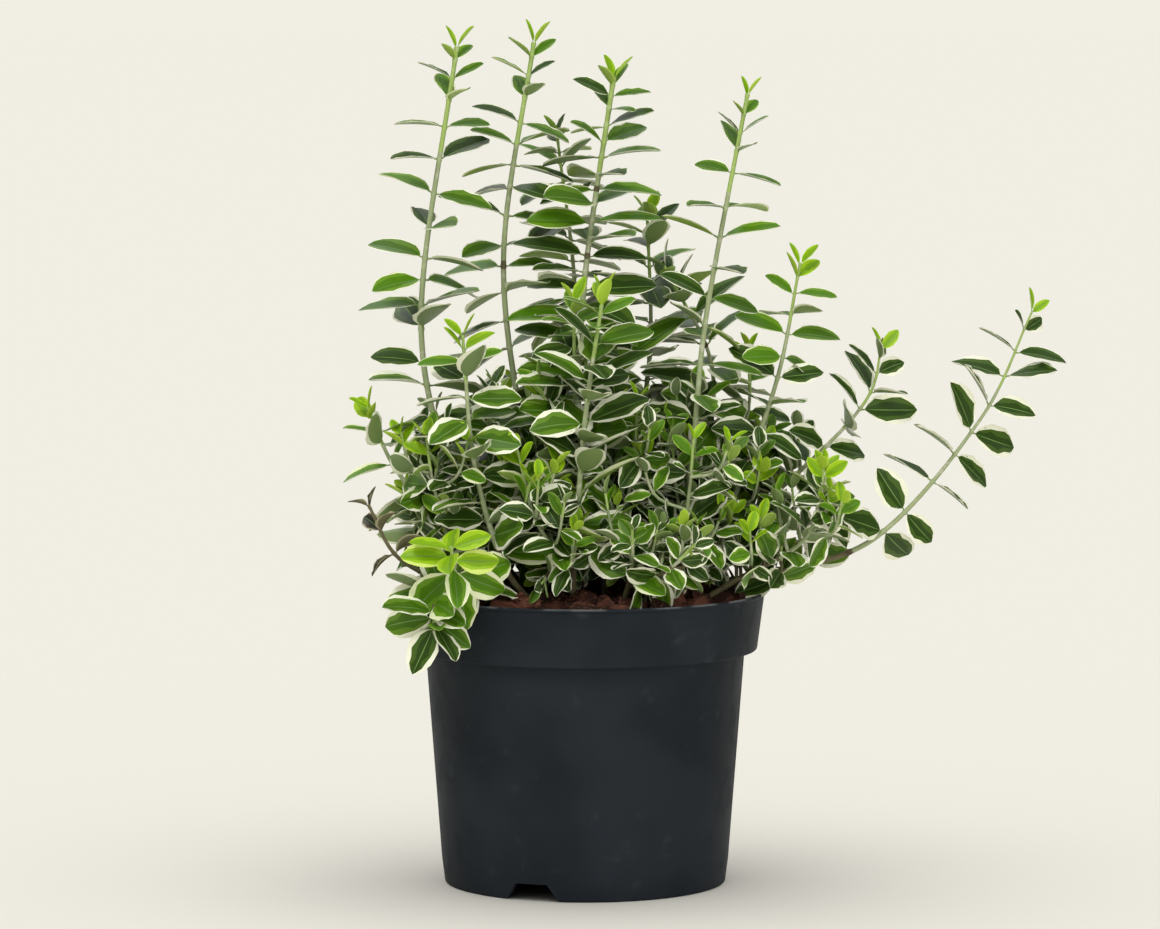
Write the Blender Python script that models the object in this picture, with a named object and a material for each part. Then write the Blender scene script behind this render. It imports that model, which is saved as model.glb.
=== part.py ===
"""Potted emerald gaiety wintercreeper: a nursery pot, the soil in it, the bare stems and the leafy shoots.

The frame has its origin at the middle of the pot's underside, +Z up, and the side seen first faces -Y.
Driving sizes are in millimetres, which MM turns into metres. Run it in Blender's text editor, or with
blender --background --python part.py.
"""

import math
import random

import bmesh
import bpy
from mathutils import Matrix, Vector
from mathutils.bvhtree import BVHTree

MM = 0.001
GAP = 0.3  # clearance between pieces that touch on the real plant
MERGE = 0.001  # points nearer than this are one
GOLDEN_ANGLE = math.radians(137.5)

# Pot: radii and heights of its wall, all from the ground and the axis.
POT_HEIGHT = 154
LIP_RADIUS = 95
LIP_DEPTH = 1.5
LIP_EDGE = 0.5  # the bevels of the lip
BAND_TOP_RADIUS = 94.6
BAND_LOW_RADIUS = 90.3
BAND_LOW_HEIGHT = 123
BODY_TOP_RADIUS = 83.8
BODY_LOW_RADIUS = 75.4
BODY_LOW_HEIGHT = 12.5
FOOT_RADIUS = 73.8
FOOT_WIDTH = 4
WALL = 1.6
FLOOR_HEIGHT = 10
PAD_RADIUS = 22
POT_SIDES = 36
POT_CREASE = 35  # edges of the pot that turn by more degrees than this stay sharp

# Openings under the pot.
NOTCH_COUNT = 3
NOTCH_FIRST_ANGLE = math.radians(-112)
NOTCH_LOW_WIDTH = 29
NOTCH_TOP_WIDTH = 17.5
NOTCH_HEIGHT = 9
NOTCH_INSIDE, NOTCH_OUTSIDE = 60, 81  # the radii between which it is cut
DRAIN_COUNT = 6
DRAIN_RADIUS = 5.5
DRAIN_SIDES = 12
DRAIN_CUT = 12.8  # the height of the body that cuts one
DRAIN_CIRCLE = 47
DRAIN_OFFSET = 0.42  # where the first hole stands, as a share of the angle between two

# Soil and the bark chips on it.
SOIL_HEIGHT = 146
CHIP_COUNT = 30
CHIP_LENGTHS = (11, 21)
CHIP_WIDTHS = (7, 12)
CHIP_THICKNESS = (3.5, 6)
CHIP_CIRCLE = 72
CHIP_SINK = 0.45
CHIP_TILT = 0.25
CHIP_END_WIDTHS = (0.35, 0.8)
CHIP_END_HEIGHT = 0.8
FOOT_CLEARING = 9

# Stems, as radii.
STEM_FOOT_RADIUS = 2.6
STEM_FORK_RADIUS = 1.8
FLARE = 1.2
FLARE_LENGTH = 4
FLARE_TURN = 12  # the length over which a stem's foot turns from upright to its lean
SHOOT_RADIUS = 1.7
SHOOT_TIP_RADIUS = 0.75
TWIG_RADIUS = 1.15
STEM_SIDES = 6
STEM_CREASE = 50
SHOOT_SIDES = 3
RING_START = 0.25  # where the first corner of a stem's ring stands, as a share of a side
STEP_LENGTH = 21  # the straight pieces of a stem
CURVE_STEPS = 24
CLEAR_STEP = 0.25

# Leaves, as shares of their length, and their angles to the stem from the tip down.
LEAF_WIDTH = 0.62
LEAF_THICKNESS = 0.036
LEAF_FOLD = 0.05
LEAF_DROOP = 0.06
LEAF_WIDEST = 0.5
LEAF_ROOT = 0.25  # how far past the middle of its stem a leaf starts, in millimetres
PAIR_OFFSET = 0.5  # the most by which the two leaves of a pair stand apart along the stem
SPREADS = (28, 46, 62, 76)
SPREAD_JITTER = 10
TURN_JITTER = 12
SIZE_JITTER = (0.86, 1.1)
YOUNG_SIZE = 0.48
SIZE_STEP = 0.14
YOUNG_SPACING = 0.5  # how close the pairs at the tip stand, as a share of the spacing from GROWN_PAIR on
GROWN_PAIR = 4
SPACING_JITTER = (0.8, 1.2)
TIP_SETBACK = 2.5
LEAF_GUARD = 0.5  # how far a leaf keeps from other solids
GUARD_START = 0.16  # the share of its length from where it does
ROLLS = (8, 42)  # how far a leaf may turn about its own rib, high up and at the soil
ROLL_HEIGHT = 290
LOW_LEAF_GROWTH = 0.12  # the share by which leaves near the soil are larger than life, to close the crown
# Other ways to set a leaf that would touch something: turned about the stem by these degrees, and this large.
SETTINGS = (
    (0, 1.0), (16, 1.0), (-16, 1.0), (30, 0.95), (-30, 0.95), (0, 0.8), (22, 0.8), (-22, 0.8), (0, 0.62)
)

# Side twigs of a shoot.
TWIG_LENGTHS = (30, 46)
TWIG_FIRST, TWIG_STEP = 0.12, 0.2  # where on the shoot they start
TWIG_BEND = 0.45  # how far out they turn up, as a share of their length
TWIG_LEAN = 0.35
TWIG_RISE = 0.9
TWIG_TRIES = 6
TWIG_PAIRS = 3
TWIG_LEAF = 0.82

# Shoots behind the plant, which the front doesn't show, follow a rule instead of their own places.
REAR_STEMS = 5
REAR_FIRST_ANGLE = math.radians(16)
REAR_LAST_ANGLE = math.radians(168)
REAR_FOOT_CIRCLE = 39
REAR_FORK_CIRCLE = 55
REAR_REACH = (96, 70)
REAR_HEIGHTS = (206, 250)
REAR_FORK_RISE, REAR_BEND_RISE = 0.28, 0.64
REAR_BEND_REACH = 0.88
REAR_JITTER = 5
REAR_PAIRS = 7
REAR_LEAF = 28
SEED = 5


class Shoot:
    """One leafy shoot: the points its stem passes up to its tip, and its pairs of leaves.

    leaf is the length of its largest leaves, turn the angle of the pair at the tip, twigs its side twigs.
    """

    def __init__(self, name, *route, pairs, leaf, turn=0, twigs=0):
        self.name, self.route, self.twigs = name, route, twigs
        self.pairs, self.leaf, self.turn = pairs, leaf, math.radians(turn)


class Stem:
    """A bare stem from its foot in the soil to its fork, and its shoots. The first goes straight on."""

    def __init__(self, name, foot, fork, *shoots):
        self.name, self.foot, self.fork, self.shoots = name, foot, fork, shoots


# The front and sides, left to right: places are (right, back, up) from the middle of the pot's underside.
CLUMP = [
    Stem(
        "stem_left", (-26, 4), (-44, 7, 170),
        Shoot("tall_left", (-72, 10, 220), (-86, 10, 300), (-67, 10, 438), pairs=15, leaf=28, turn=0),
        Shoot("left_inner", (-52, 2, 222), (-48, -2, 262), pairs=6, leaf=24, turn=50, twigs=1),
    ),
    Stem(
        "stem_left_back", (-10, 12), (-19, 22, 176),
        Shoot("tall_left_back", (-34, 33, 240), (-43, 35, 330), (-27, 35, 440), pairs=15, leaf=27, turn=10),
        Shoot("left_back_low", (-64, 48, 208), (-80, 52, 244), pairs=6, leaf=24, turn=20, twigs=1),
    ),
    Stem(
        "stem_middle", (-7, -4), (-7, 6, 178),
        Shoot("tall_middle", (-4, 16, 240), (0, 20, 318), (15, 20, 426), pairs=15, leaf=29, turn=5, twigs=1),
        Shoot("middle_back", (-5, 52, 300), (-15, 56, 392), pairs=10, leaf=26, turn=35),
    ),
    Stem(
        "stem_front", (-6, -34), (-6, -46, 168),
        Shoot("front_upright", (0, -55, 248), (9, -55, 311), pairs=11, leaf=28, turn=8, twigs=1),
        Shoot("centre_left_low", (-25, -56, 195), (-35, -52, 232), pairs=5, leaf=23, turn=60, twigs=1),
    ),
    Stem(
        "stem_centre", (10, -16), (9, -21, 170),
        Shoot("front_inner", (-4, -29, 245), (-6, -32, 307), pairs=9, leaf=26, turn=30),
        Shoot("centre_right_low", (23, -32, 210), (27, -36, 257), pairs=6, leaf=24, turn=10, twigs=1),
    ),
    Stem(
        "stem_back_middle", (8, 22), (18, 33, 176),
        Shoot("back_middle", (34, 46, 270), (33, 45, 350), pairs=9, leaf=27, turn=20, twigs=1),
    ),
    Stem(
        "stem_right_back", (34, 18), (52, 25, 176),
        Shoot("right_arch", (68, 34, 262), (42, 30, 322), pairs=9, leaf=30, turn=15),
        Shoot("right_inner", (84, 24, 238), (86, 20, 279), pairs=6, leaf=24, turn=40, twigs=1),
    ),
    Stem(
        "stem_right", (33, -12), (47, -17, 170),
        Shoot("tall_right", (56, -20, 230), (63, -20, 300), (84, -20, 414), pairs=14, leaf=26, twigs=1),
        Shoot("front_right_small", (52, -44, 195), (56, -52, 238), pairs=5, leaf=23, turn=45, twigs=1),
    ),
    Stem(
        "stem_right_middle", (44, 2), (66, -4, 176),
        Shoot("right_middle", (98, -10, 258), (112, -10, 330), pairs=10, leaf=26, turn=12, twigs=1),
        Shoot("right_lean", (120, 2, 223), (148, 0, 258), (155, 0, 286), pairs=10, leaf=27, turn=20, twigs=1),
    ),
    Stem(
        "stem_far_right", (56, -6), (86, -8, 161),
        Shoot(
            "far_right", (150, -10, 181), (206, -10, 244), (233, -10, 301), pairs=12, leaf=27, turn=5, twigs=1
        ),
    ),
    Stem(
        "stem_right_low", (54, -28), (76, -32, 161),
        Shoot("right_low", (114, -32, 184), (124, -30, 221), pairs=6, leaf=25, turn=10, twigs=1),
    ),
    Stem(
        "stem_front_left", (-22, -38), (-41, -47, 170),
        Shoot("left_front", (-57, -50, 224), (-63, -50, 291), pairs=9, leaf=28, turn=15, twigs=2),
    ),
    Stem(
        "stem_left_low", (-33, -14), (-54, -19, 169),
        Shoot("left_low", (-96, -25, 225), (-113, -25, 266), pairs=8, leaf=27, turn=15, twigs=1),
        Shoot("left_lime", (-76, -42, 205), (-82, -42, 238), pairs=5, leaf=24, turn=60, twigs=1),
    ),
    Stem(
        "stem_rim_left", (-48, -38), (-66, -54, 160),
        Shoot("left_wisp", (-98, -64, 176), (-112, -62, 196), pairs=4, leaf=19, turn=40),
        Shoot("rim_cascade", (-84, -74, 158), (-88, -82, 130), pairs=5, leaf=24, turn=20),
    ),
    Stem(
        "stem_rim_front", (-40, -50), (-56, -72, 161),
        Shoot("rim_lime", (-67, -88, 176), (-70, -94, 197), pairs=5, leaf=30, turn=0),
    ),
    Stem(
        "stem_front_low", (18, -50), (22, -62, 162),
        Shoot("front_low", (24, -76, 176), (24, -84, 194), pairs=5, leaf=23, turn=45),
        Shoot("front_low_right", (42, -74, 172), (56, -80, 186), pairs=5, leaf=22, turn=0),
    ),
]


def rear_stems():
    """Stems fanned round the back, each with a shoot, their reach and height drawn from a seeded rule."""
    draw = random.Random(SEED)
    stems = []
    for i in range(REAR_STEMS):
        angle = REAR_FIRST_ANGLE + (REAR_LAST_ANGLE - REAR_FIRST_ANGLE) * i / (REAR_STEMS - 1)
        out = Vector((math.cos(angle), math.sin(angle), 0))
        reach = REAR_REACH[i % 2] + draw.uniform(-REAR_JITTER, REAR_JITTER)
        height = REAR_HEIGHTS[i % 2] + draw.uniform(-REAR_JITTER, REAR_JITTER)
        fork, bend, tip = (
            out * circle + Vector((0, 0, SOIL_HEIGHT + (height - SOIL_HEIGHT) * rise))
            for circle, rise in (
                (REAR_FORK_CIRCLE, REAR_FORK_RISE), (reach * REAR_BEND_REACH, REAR_BEND_RISE), (reach, 1)
            )
        )
        turn = draw.uniform(0, 90)
        shoot = Shoot(f"rear_{i + 1}", bend, tip, pairs=REAR_PAIRS, leaf=REAR_LEAF, turn=turn, twigs=1)
        stems.append(Stem(f"stem_rear_{i + 1}", (out * REAR_FOOT_CIRCLE).xy, fork, shoot))
    return stems


def material(name, colour, roughness):
    """A Principled material; colour is linear red, green and blue."""
    made = bpy.data.materials.new(name)
    made.use_nodes = True
    shader = made.node_tree.nodes["Principled BSDF"]
    shader.inputs["Base Color"].default_value = (*colour, 1)
    shader.inputs["Roughness"].default_value = roughness
    shader.inputs["Metallic"].default_value = 0
    return made


def object_of(name, bm, finish):
    """A linked object of a bmesh in millimetres, as metres."""
    bmesh.ops.scale(bm, vec=(MM, MM, MM), verts=bm.verts)
    mesh = bpy.data.meshes.new(name)
    bm.to_mesh(mesh)
    bm.free()
    mesh.materials.append(finish)
    made = bpy.data.objects.new(name, mesh)
    bpy.context.scene.collection.objects.link(made)
    return made


def smooth(obj, degrees):
    """Smooth shading, with edges that turn by more than these degrees kept sharp."""
    obj.data.shade_smooth()
    obj.data.set_sharp_from_angle(angle=math.radians(degrees))


def lathe(profile, sides):
    """A bmesh turned about Z from (radius, height) points, closed at the axis where the profile meets it."""
    bm = bmesh.new()
    verts = [bm.verts.new((radius, 0, height)) for radius, height in profile]
    edges = [bm.edges.new(pair) for pair in zip(verts, verts[1:])]
    bmesh.ops.spin(
        bm, geom=verts + edges, cent=(0, 0, 0), axis=(0, 0, 1), angle=math.tau, steps=sides, use_merge=True
    )
    bmesh.ops.remove_doubles(bm, verts=bm.verts, dist=MERGE)
    bmesh.ops.recalc_face_normals(bm, faces=bm.faces)
    return bm


def cleaned(mesh):
    """Tidies a Boolean's result: points that all but coincide are merged, and hollows and scraps dropped.

    Returns whether every edge then has two faces.
    """
    bm = bmesh.new()
    bm.from_mesh(mesh)
    bmesh.ops.remove_doubles(bm, verts=bm.verts, dist=MERGE * MM)
    left, bodies = set(bm.faces), []
    while left:
        body, waiting = set(), [next(face for face in bm.faces if face in left)]
        while waiting:
            face = waiting.pop()
            if face in left:
                left.remove(face)
                body.add(face)
                waiting += [other for edge in face.edges for other in edge.link_faces]
        bodies.append(body)
    largest = max(bodies, key=len)
    bmesh.ops.delete(bm, geom=[face for face in bm.faces if face not in largest], context="FACES")
    whole = all(len(edge.link_faces) == 2 for edge in bm.edges)
    bm.to_mesh(mesh)
    bm.free()
    return whole


def boolean(target, operation, cutters):
    """Joins or cuts target with the cutters in one Boolean on their collection, and removes them."""
    group = bpy.data.collections.new(target.name + "_cutters")
    for cutter in cutters:
        group.objects.link(cutter)
    modifier = target.modifiers.new(operation.title(), "BOOLEAN")
    modifier.operation = operation
    modifier.operand_type = "COLLECTION"
    modifier.collection = group
    for solver in ("EXACT", "MANIFOLD"):
        modifier.solver = solver
        evaluated = target.evaluated_get(bpy.context.evaluated_depsgraph_get())
        result = bpy.data.meshes.new_from_object(evaluated)
        if cleaned(result):
            break
    old, target.data = target.data, result
    target.data.name = target.name
    target.modifiers.clear()
    bpy.data.meshes.remove(old)
    for cutter in cutters:
        bpy.data.meshes.remove(cutter.data)
    bpy.data.collections.remove(group)


def wall_radius(height):
    """The pot's outer radius below its band, at a height."""
    share = (height - BODY_LOW_HEIGHT) / (BAND_LOW_HEIGHT - BODY_LOW_HEIGHT)
    return BODY_LOW_RADIUS + (BODY_TOP_RADIUS - BODY_LOW_RADIUS) * share


def make_pot(finish):
    """The pot: a tapering body under a wider band and lip, on a foot ring and a pad, with a raised floor."""
    inner_foot = FOOT_RADIUS - FOOT_WIDTH
    profile = [
        (0, 0), (PAD_RADIUS, 0), (PAD_RADIUS + WALL, FLOOR_HEIGHT),
        (inner_foot, FLOOR_HEIGHT), (inner_foot, 0), (FOOT_RADIUS, 0),
        (BODY_LOW_RADIUS, BODY_LOW_HEIGHT), (BODY_TOP_RADIUS, BAND_LOW_HEIGHT),
        (BAND_LOW_RADIUS, BAND_LOW_HEIGHT),
        (BAND_TOP_RADIUS - LIP_EDGE, POT_HEIGHT - LIP_DEPTH - LIP_EDGE), (LIP_RADIUS, POT_HEIGHT - LIP_DEPTH),
        (LIP_RADIUS, POT_HEIGHT - LIP_EDGE), (LIP_RADIUS - LIP_EDGE, POT_HEIGHT),
        (BAND_TOP_RADIUS - WALL, POT_HEIGHT),
        (BAND_LOW_RADIUS - WALL, BAND_LOW_HEIGHT + WALL), (BODY_TOP_RADIUS - WALL, BAND_LOW_HEIGHT + WALL),
        (wall_radius(FLOOR_HEIGHT + WALL) - WALL, FLOOR_HEIGHT + WALL),
        (PAD_RADIUS, FLOOR_HEIGHT + WALL), (PAD_RADIUS - WALL, WALL), (0, WALL),
    ]
    pot = object_of("pot", lathe(profile, POT_SIDES), finish)
    cutters = [notch(i, finish) for i in range(NOTCH_COUNT)]
    for i in range(DRAIN_COUNT):
        angle = math.tau * (i + DRAIN_OFFSET) / DRAIN_COUNT
        hole = bmesh.new()
        bmesh.ops.create_cone(
            hole, cap_ends=True, segments=DRAIN_SIDES, radius1=DRAIN_RADIUS, radius2=DRAIN_RADIUS,
            depth=DRAIN_CUT, matrix=Matrix.Translation(
                (DRAIN_CIRCLE * math.cos(angle), DRAIN_CIRCLE * math.sin(angle), FLOOR_HEIGHT + WALL / 2)
            ),
        )
        cutters.append(object_of(f"drain_cutter_{i}", hole, finish))
    boolean(pot, "DIFFERENCE", cutters)
    smooth(pot, POT_CREASE)
    return pot


def notch(index, finish):
    """A cutter for one drainage notch: a bar with a trapezoid's section that runs through the foot ring."""
    bm = bmesh.new()
    half_top = NOTCH_TOP_WIDTH / 2
    half_low = NOTCH_LOW_WIDTH - half_top
    corners = (
        (-half_low, -NOTCH_HEIGHT), (half_low, -NOTCH_HEIGHT),
        (half_top, NOTCH_HEIGHT), (-half_top, NOTCH_HEIGHT),
    )
    section = bm.faces.new([bm.verts.new((NOTCH_INSIDE, side, height)) for side, height in corners])
    run = bmesh.ops.extrude_face_region(bm, geom=[section])
    moved = [item for item in run["geom"] if isinstance(item, bmesh.types.BMVert)]
    bmesh.ops.translate(bm, verts=moved, vec=(NOTCH_OUTSIDE - NOTCH_INSIDE, 0, 0))
    angle = NOTCH_FIRST_ANGLE + math.tau * index / NOTCH_COUNT
    bmesh.ops.rotate(bm, verts=bm.verts, matrix=Matrix.Rotation(angle, 3, "Z"))
    bmesh.ops.recalc_face_normals(bm, faces=bm.faces)
    return object_of(f"notch_cutter_{index}", bm, finish)


def make_soil(finish, feet):
    """The soil that fills the pot, with bark chips sunk in its top wherever no stem stands."""
    floor = FLOOR_HEIGHT + WALL + GAP
    shelf = BAND_LOW_HEIGHT + WALL + GAP
    band_share = (SOIL_HEIGHT - BAND_LOW_HEIGHT) / (POT_HEIGHT - BAND_LOW_HEIGHT)
    top_radius = BAND_LOW_RADIUS + (BAND_TOP_RADIUS - BAND_LOW_RADIUS) * band_share - WALL - GAP
    profile = [
        (0, WALL + GAP), (PAD_RADIUS - WALL - 2 * GAP, WALL + GAP), (PAD_RADIUS - GAP, floor),
        (wall_radius(floor) - WALL - GAP, floor), (BODY_TOP_RADIUS - WALL - GAP, shelf),
        (BAND_LOW_RADIUS - WALL - GAP, shelf), (top_radius, SOIL_HEIGHT), (0, SOIL_HEIGHT),
    ]
    soil = object_of("soil", lathe(profile, POT_SIDES), finish)
    draw = random.Random(SEED)
    chips = []
    for i in range(CHIP_COUNT):
        angle = i * GOLDEN_ANGLE
        circle = CHIP_CIRCLE * math.sqrt((i + 0.5) / CHIP_COUNT)
        place = Vector((circle * math.cos(angle), circle * math.sin(angle)))
        sizes = [draw.uniform(*limits) for limits in (CHIP_LENGTHS, CHIP_WIDTHS, CHIP_THICKNESS)]
        turn = Matrix.Rotation(draw.uniform(0, math.tau), 4, "Z")
        tilt = Matrix.Rotation(draw.uniform(-CHIP_TILT, CHIP_TILT), 4, "Y")
        if min((place - Vector(foot)).length for foot in feet) < FOOT_CLEARING + sizes[0] / 2:
            continue
        chip = bmesh.new()
        bmesh.ops.create_cube(chip, size=1, matrix=Matrix.Diagonal((*sizes, 1)))
        ends = [vert for vert in chip.verts if vert.co.x > 0]
        bmesh.ops.scale(chip, vec=(1, draw.uniform(*CHIP_END_WIDTHS), CHIP_END_HEIGHT), verts=ends)
        lift = SOIL_HEIGHT + (0.5 - CHIP_SINK) * sizes[2]
        bmesh.ops.transform(chip, matrix=Matrix.Translation((*place, lift)) @ turn @ tilt, verts=chip.verts)
        chips.append(object_of(f"chip_{i}", chip, finish))
    boolean(soil, "UNION", chips)
    return soil


class Line:
    """A run of straight pieces, read by the distance along it, with a direction at each of its points."""

    def __init__(self, points, directions=None):
        self.points = points
        befores, afters = [points[0], *points], [*points[1:], points[-1]]
        self.directions = directions or [(end - start).normalized() for start, end in zip(befores, afters)]
        self.lengths = [0.0]
        for before, after in zip(points, points[1:]):
            self.lengths.append(self.lengths[-1] + (after - before).length)
        self.length = self.lengths[-1]

    def at(self, distance):
        """The place at a distance along the line, and the direction there."""
        distance = min(max(distance, 0), self.length)
        i = next(i for i in range(1, len(self.lengths)) if self.lengths[i] >= distance - 1e-9)
        share = (distance - self.lengths[i - 1]) / (self.lengths[i] - self.lengths[i - 1])
        place = self.points[i - 1].lerp(self.points[i], share)
        return place, self.directions[i - 1].lerp(self.directions[i], share).normalized()

    def part(self, start, end):
        """The line from one distance to another in even steps, as the stems are built."""
        steps = max(2, round((end - start) / STEP_LENGTH))
        return Line(*zip(*(self.at(start + (end - start) * i / steps) for i in range(steps + 1))))


def curve(points):
    """A smooth line through points, as a Catmull-Rom spline of CURVE_STEPS pieces from each to the next."""
    points = [Vector(point) for point in points]
    ends = [2 * points[0] - points[1], *points, 2 * points[-1] - points[-2]]
    fine = [points[0]]
    for a, b, c, d in zip(ends, ends[1:], ends[2:], ends[3:]):
        for step in range(1, CURVE_STEPS + 1):
            t = step / CURVE_STEPS
            square, cube = 2 * a - 5 * b + 4 * c - d, 3 * b - a - 3 * c + d
            fine.append(0.5 * (2 * b + (c - a) * t + square * t**2 + cube * t**3))
    return Line(fine)


def side_of(direction, turn):
    """A unit vector square to direction, turned about it from the plant's right by an angle."""
    right = Vector((1, 0, 0))
    right = (right - direction * right.dot(direction)).normalized()
    return Matrix.Rotation(turn, 3, direction) @ right


def tube(line, first, last, sides, flare=False):
    """A closed tube along a line, its radius from first to last, with a wider level foot for flare."""
    bm = bmesh.new()
    stations = list(line.lengths)
    if flare:
        stations.insert(1, FLARE_LENGTH)
    rings = []
    for distance in stations:
        centre, direction = line.at(distance)
        radius = first + (last - first) * distance / line.length
        if flare:
            direction = Vector((0, 0, 1)).lerp(direction, min(1, distance / FLARE_TURN)).normalized()
            radius += FLARE * max(0, 1 - distance / FLARE_LENGTH)
        turns = (math.tau * (k + RING_START) / sides for k in range(sides))
        rings.append([bm.verts.new(centre + side_of(direction, turn) * radius) for turn in turns])
    for low, high in zip(rings, rings[1:]):
        for k in range(sides):
            bm.faces.new((low[k], low[(k + 1) % sides], high[(k + 1) % sides], high[k]))
    bm.faces.new(rings[0][::-1])
    bm.faces.new(rings[-1])
    return bm


def leaf_points(length, grow=0.0):
    """A leaf's points along X, face up: root, widest side, tip, other side, then the rib above and below."""
    half = LEAF_WIDTH * length / 2 + grow
    widest, fold = LEAF_WIDEST * length, LEAF_FOLD * length
    tip = (length + grow, 0, -LEAF_DROOP * length)
    outline = [(-LEAF_ROOT, 0, 0), (widest, -half, fold), tip, (widest, half, fold)]
    rib = LEAF_THICKNESS * length / 2
    return outline, (widest, 0, rib), (widest, 0, -rib)


def leaf_mesh(length, place):
    """A leaf as a closed fan of eight faces, set in place by a matrix."""
    bm = bmesh.new()
    outline, above, below = leaf_points(length)
    ring = [bm.verts.new(place @ Vector(point)) for point in outline]
    top, bottom = bm.verts.new(place @ Vector(above)), bm.verts.new(place @ Vector(below))
    for i, vert in enumerate(ring):
        after = ring[(i + 1) % len(ring)]
        bm.faces.new((vert, after, top))
        bm.faces.new((after, vert, bottom))
    return bm


def leaf_guard(length, place, start):
    """A hull a little larger than a leaf, from a distance past its root on, to test what it would touch."""
    outline, above, below = leaf_points(length, LEAF_GUARD)
    outline[0] = (start, 0, 0)
    bm = bmesh.new()
    for point in (*outline, above, below):
        for offset in (-LEAF_GUARD, LEAF_GUARD):
            bm.verts.new(place @ (Vector(point) + Vector((0, 0, offset))))
    bmesh.ops.convex_hull(bm, input=bm.verts)
    return bm


class Space:
    """The solids placed so far, each with its owner, to test whether a new one would touch them."""

    def __init__(self):
        self.solids = []

    def add(self, bm, owner=None):
        """Keeps a bmesh in millimetres."""
        self.solids.append((*bounds_of(bm), BVHTree.FromBMesh(bm), owner))

    def add_object(self, obj):
        """Keeps an object that is already in metres."""
        bm = bmesh.new()
        bm.from_mesh(obj.data)
        bmesh.ops.scale(bm, vec=(1 / MM,) * 3, verts=bm.verts)
        self.add(bm)
        bm.free()

    def touches(self, bm, but=None):
        """True if the bmesh, which is used up, cuts any solid kept, apart from those of one owner."""
        low, high = bounds_of(bm)
        tree = BVHTree.FromBMesh(bm)
        bm.free()
        return any(
            (but is None or owner is not but)
            and all(low[i] <= other_high[i] and high[i] >= other_low[i] for i in range(3))
            and tree.overlap(other)
            for other_low, other_high, other, owner in self.solids
        )


def bounds_of(bm):
    """The lowest and highest corner of a bmesh."""
    places = [vert.co for vert in bm.verts]
    return [min(p[i] for p in places) for i in range(3)], [max(p[i] for p in places) for i in range(3)]


def clear_start(line, space):
    """The first distance along a shoot's line from which its stem is clear of the solids placed."""
    start = 0
    while start < line.length / 2:
        rest = line.part(start, line.length)
        if not space.touches(tube(rest, SHOOT_RADIUS + 2 * GAP, SHOOT_TIP_RADIUS + 2 * GAP, SHOOT_SIDES)):
            break
        start += CLEAR_STEP
    return start


def make_stem(stem, finish, space):
    """A bare stem from its flat cut on the soil, over its flare, to the fork. Returns the line from there."""
    line = curve([(*stem.foot, SOIL_HEIGHT + GAP), stem.fork, *stem.shoots[0].route])
    fork = line.lengths[CURVE_STEPS]
    bm = tube(line.part(0, fork), STEM_FOOT_RADIUS, STEM_FORK_RADIUS, STEM_SIDES, flare=True)
    space.add(bm)
    smooth(object_of(stem.name, bm, finish), STEM_CREASE)
    return line.part(fork + GAP, line.length)


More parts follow.
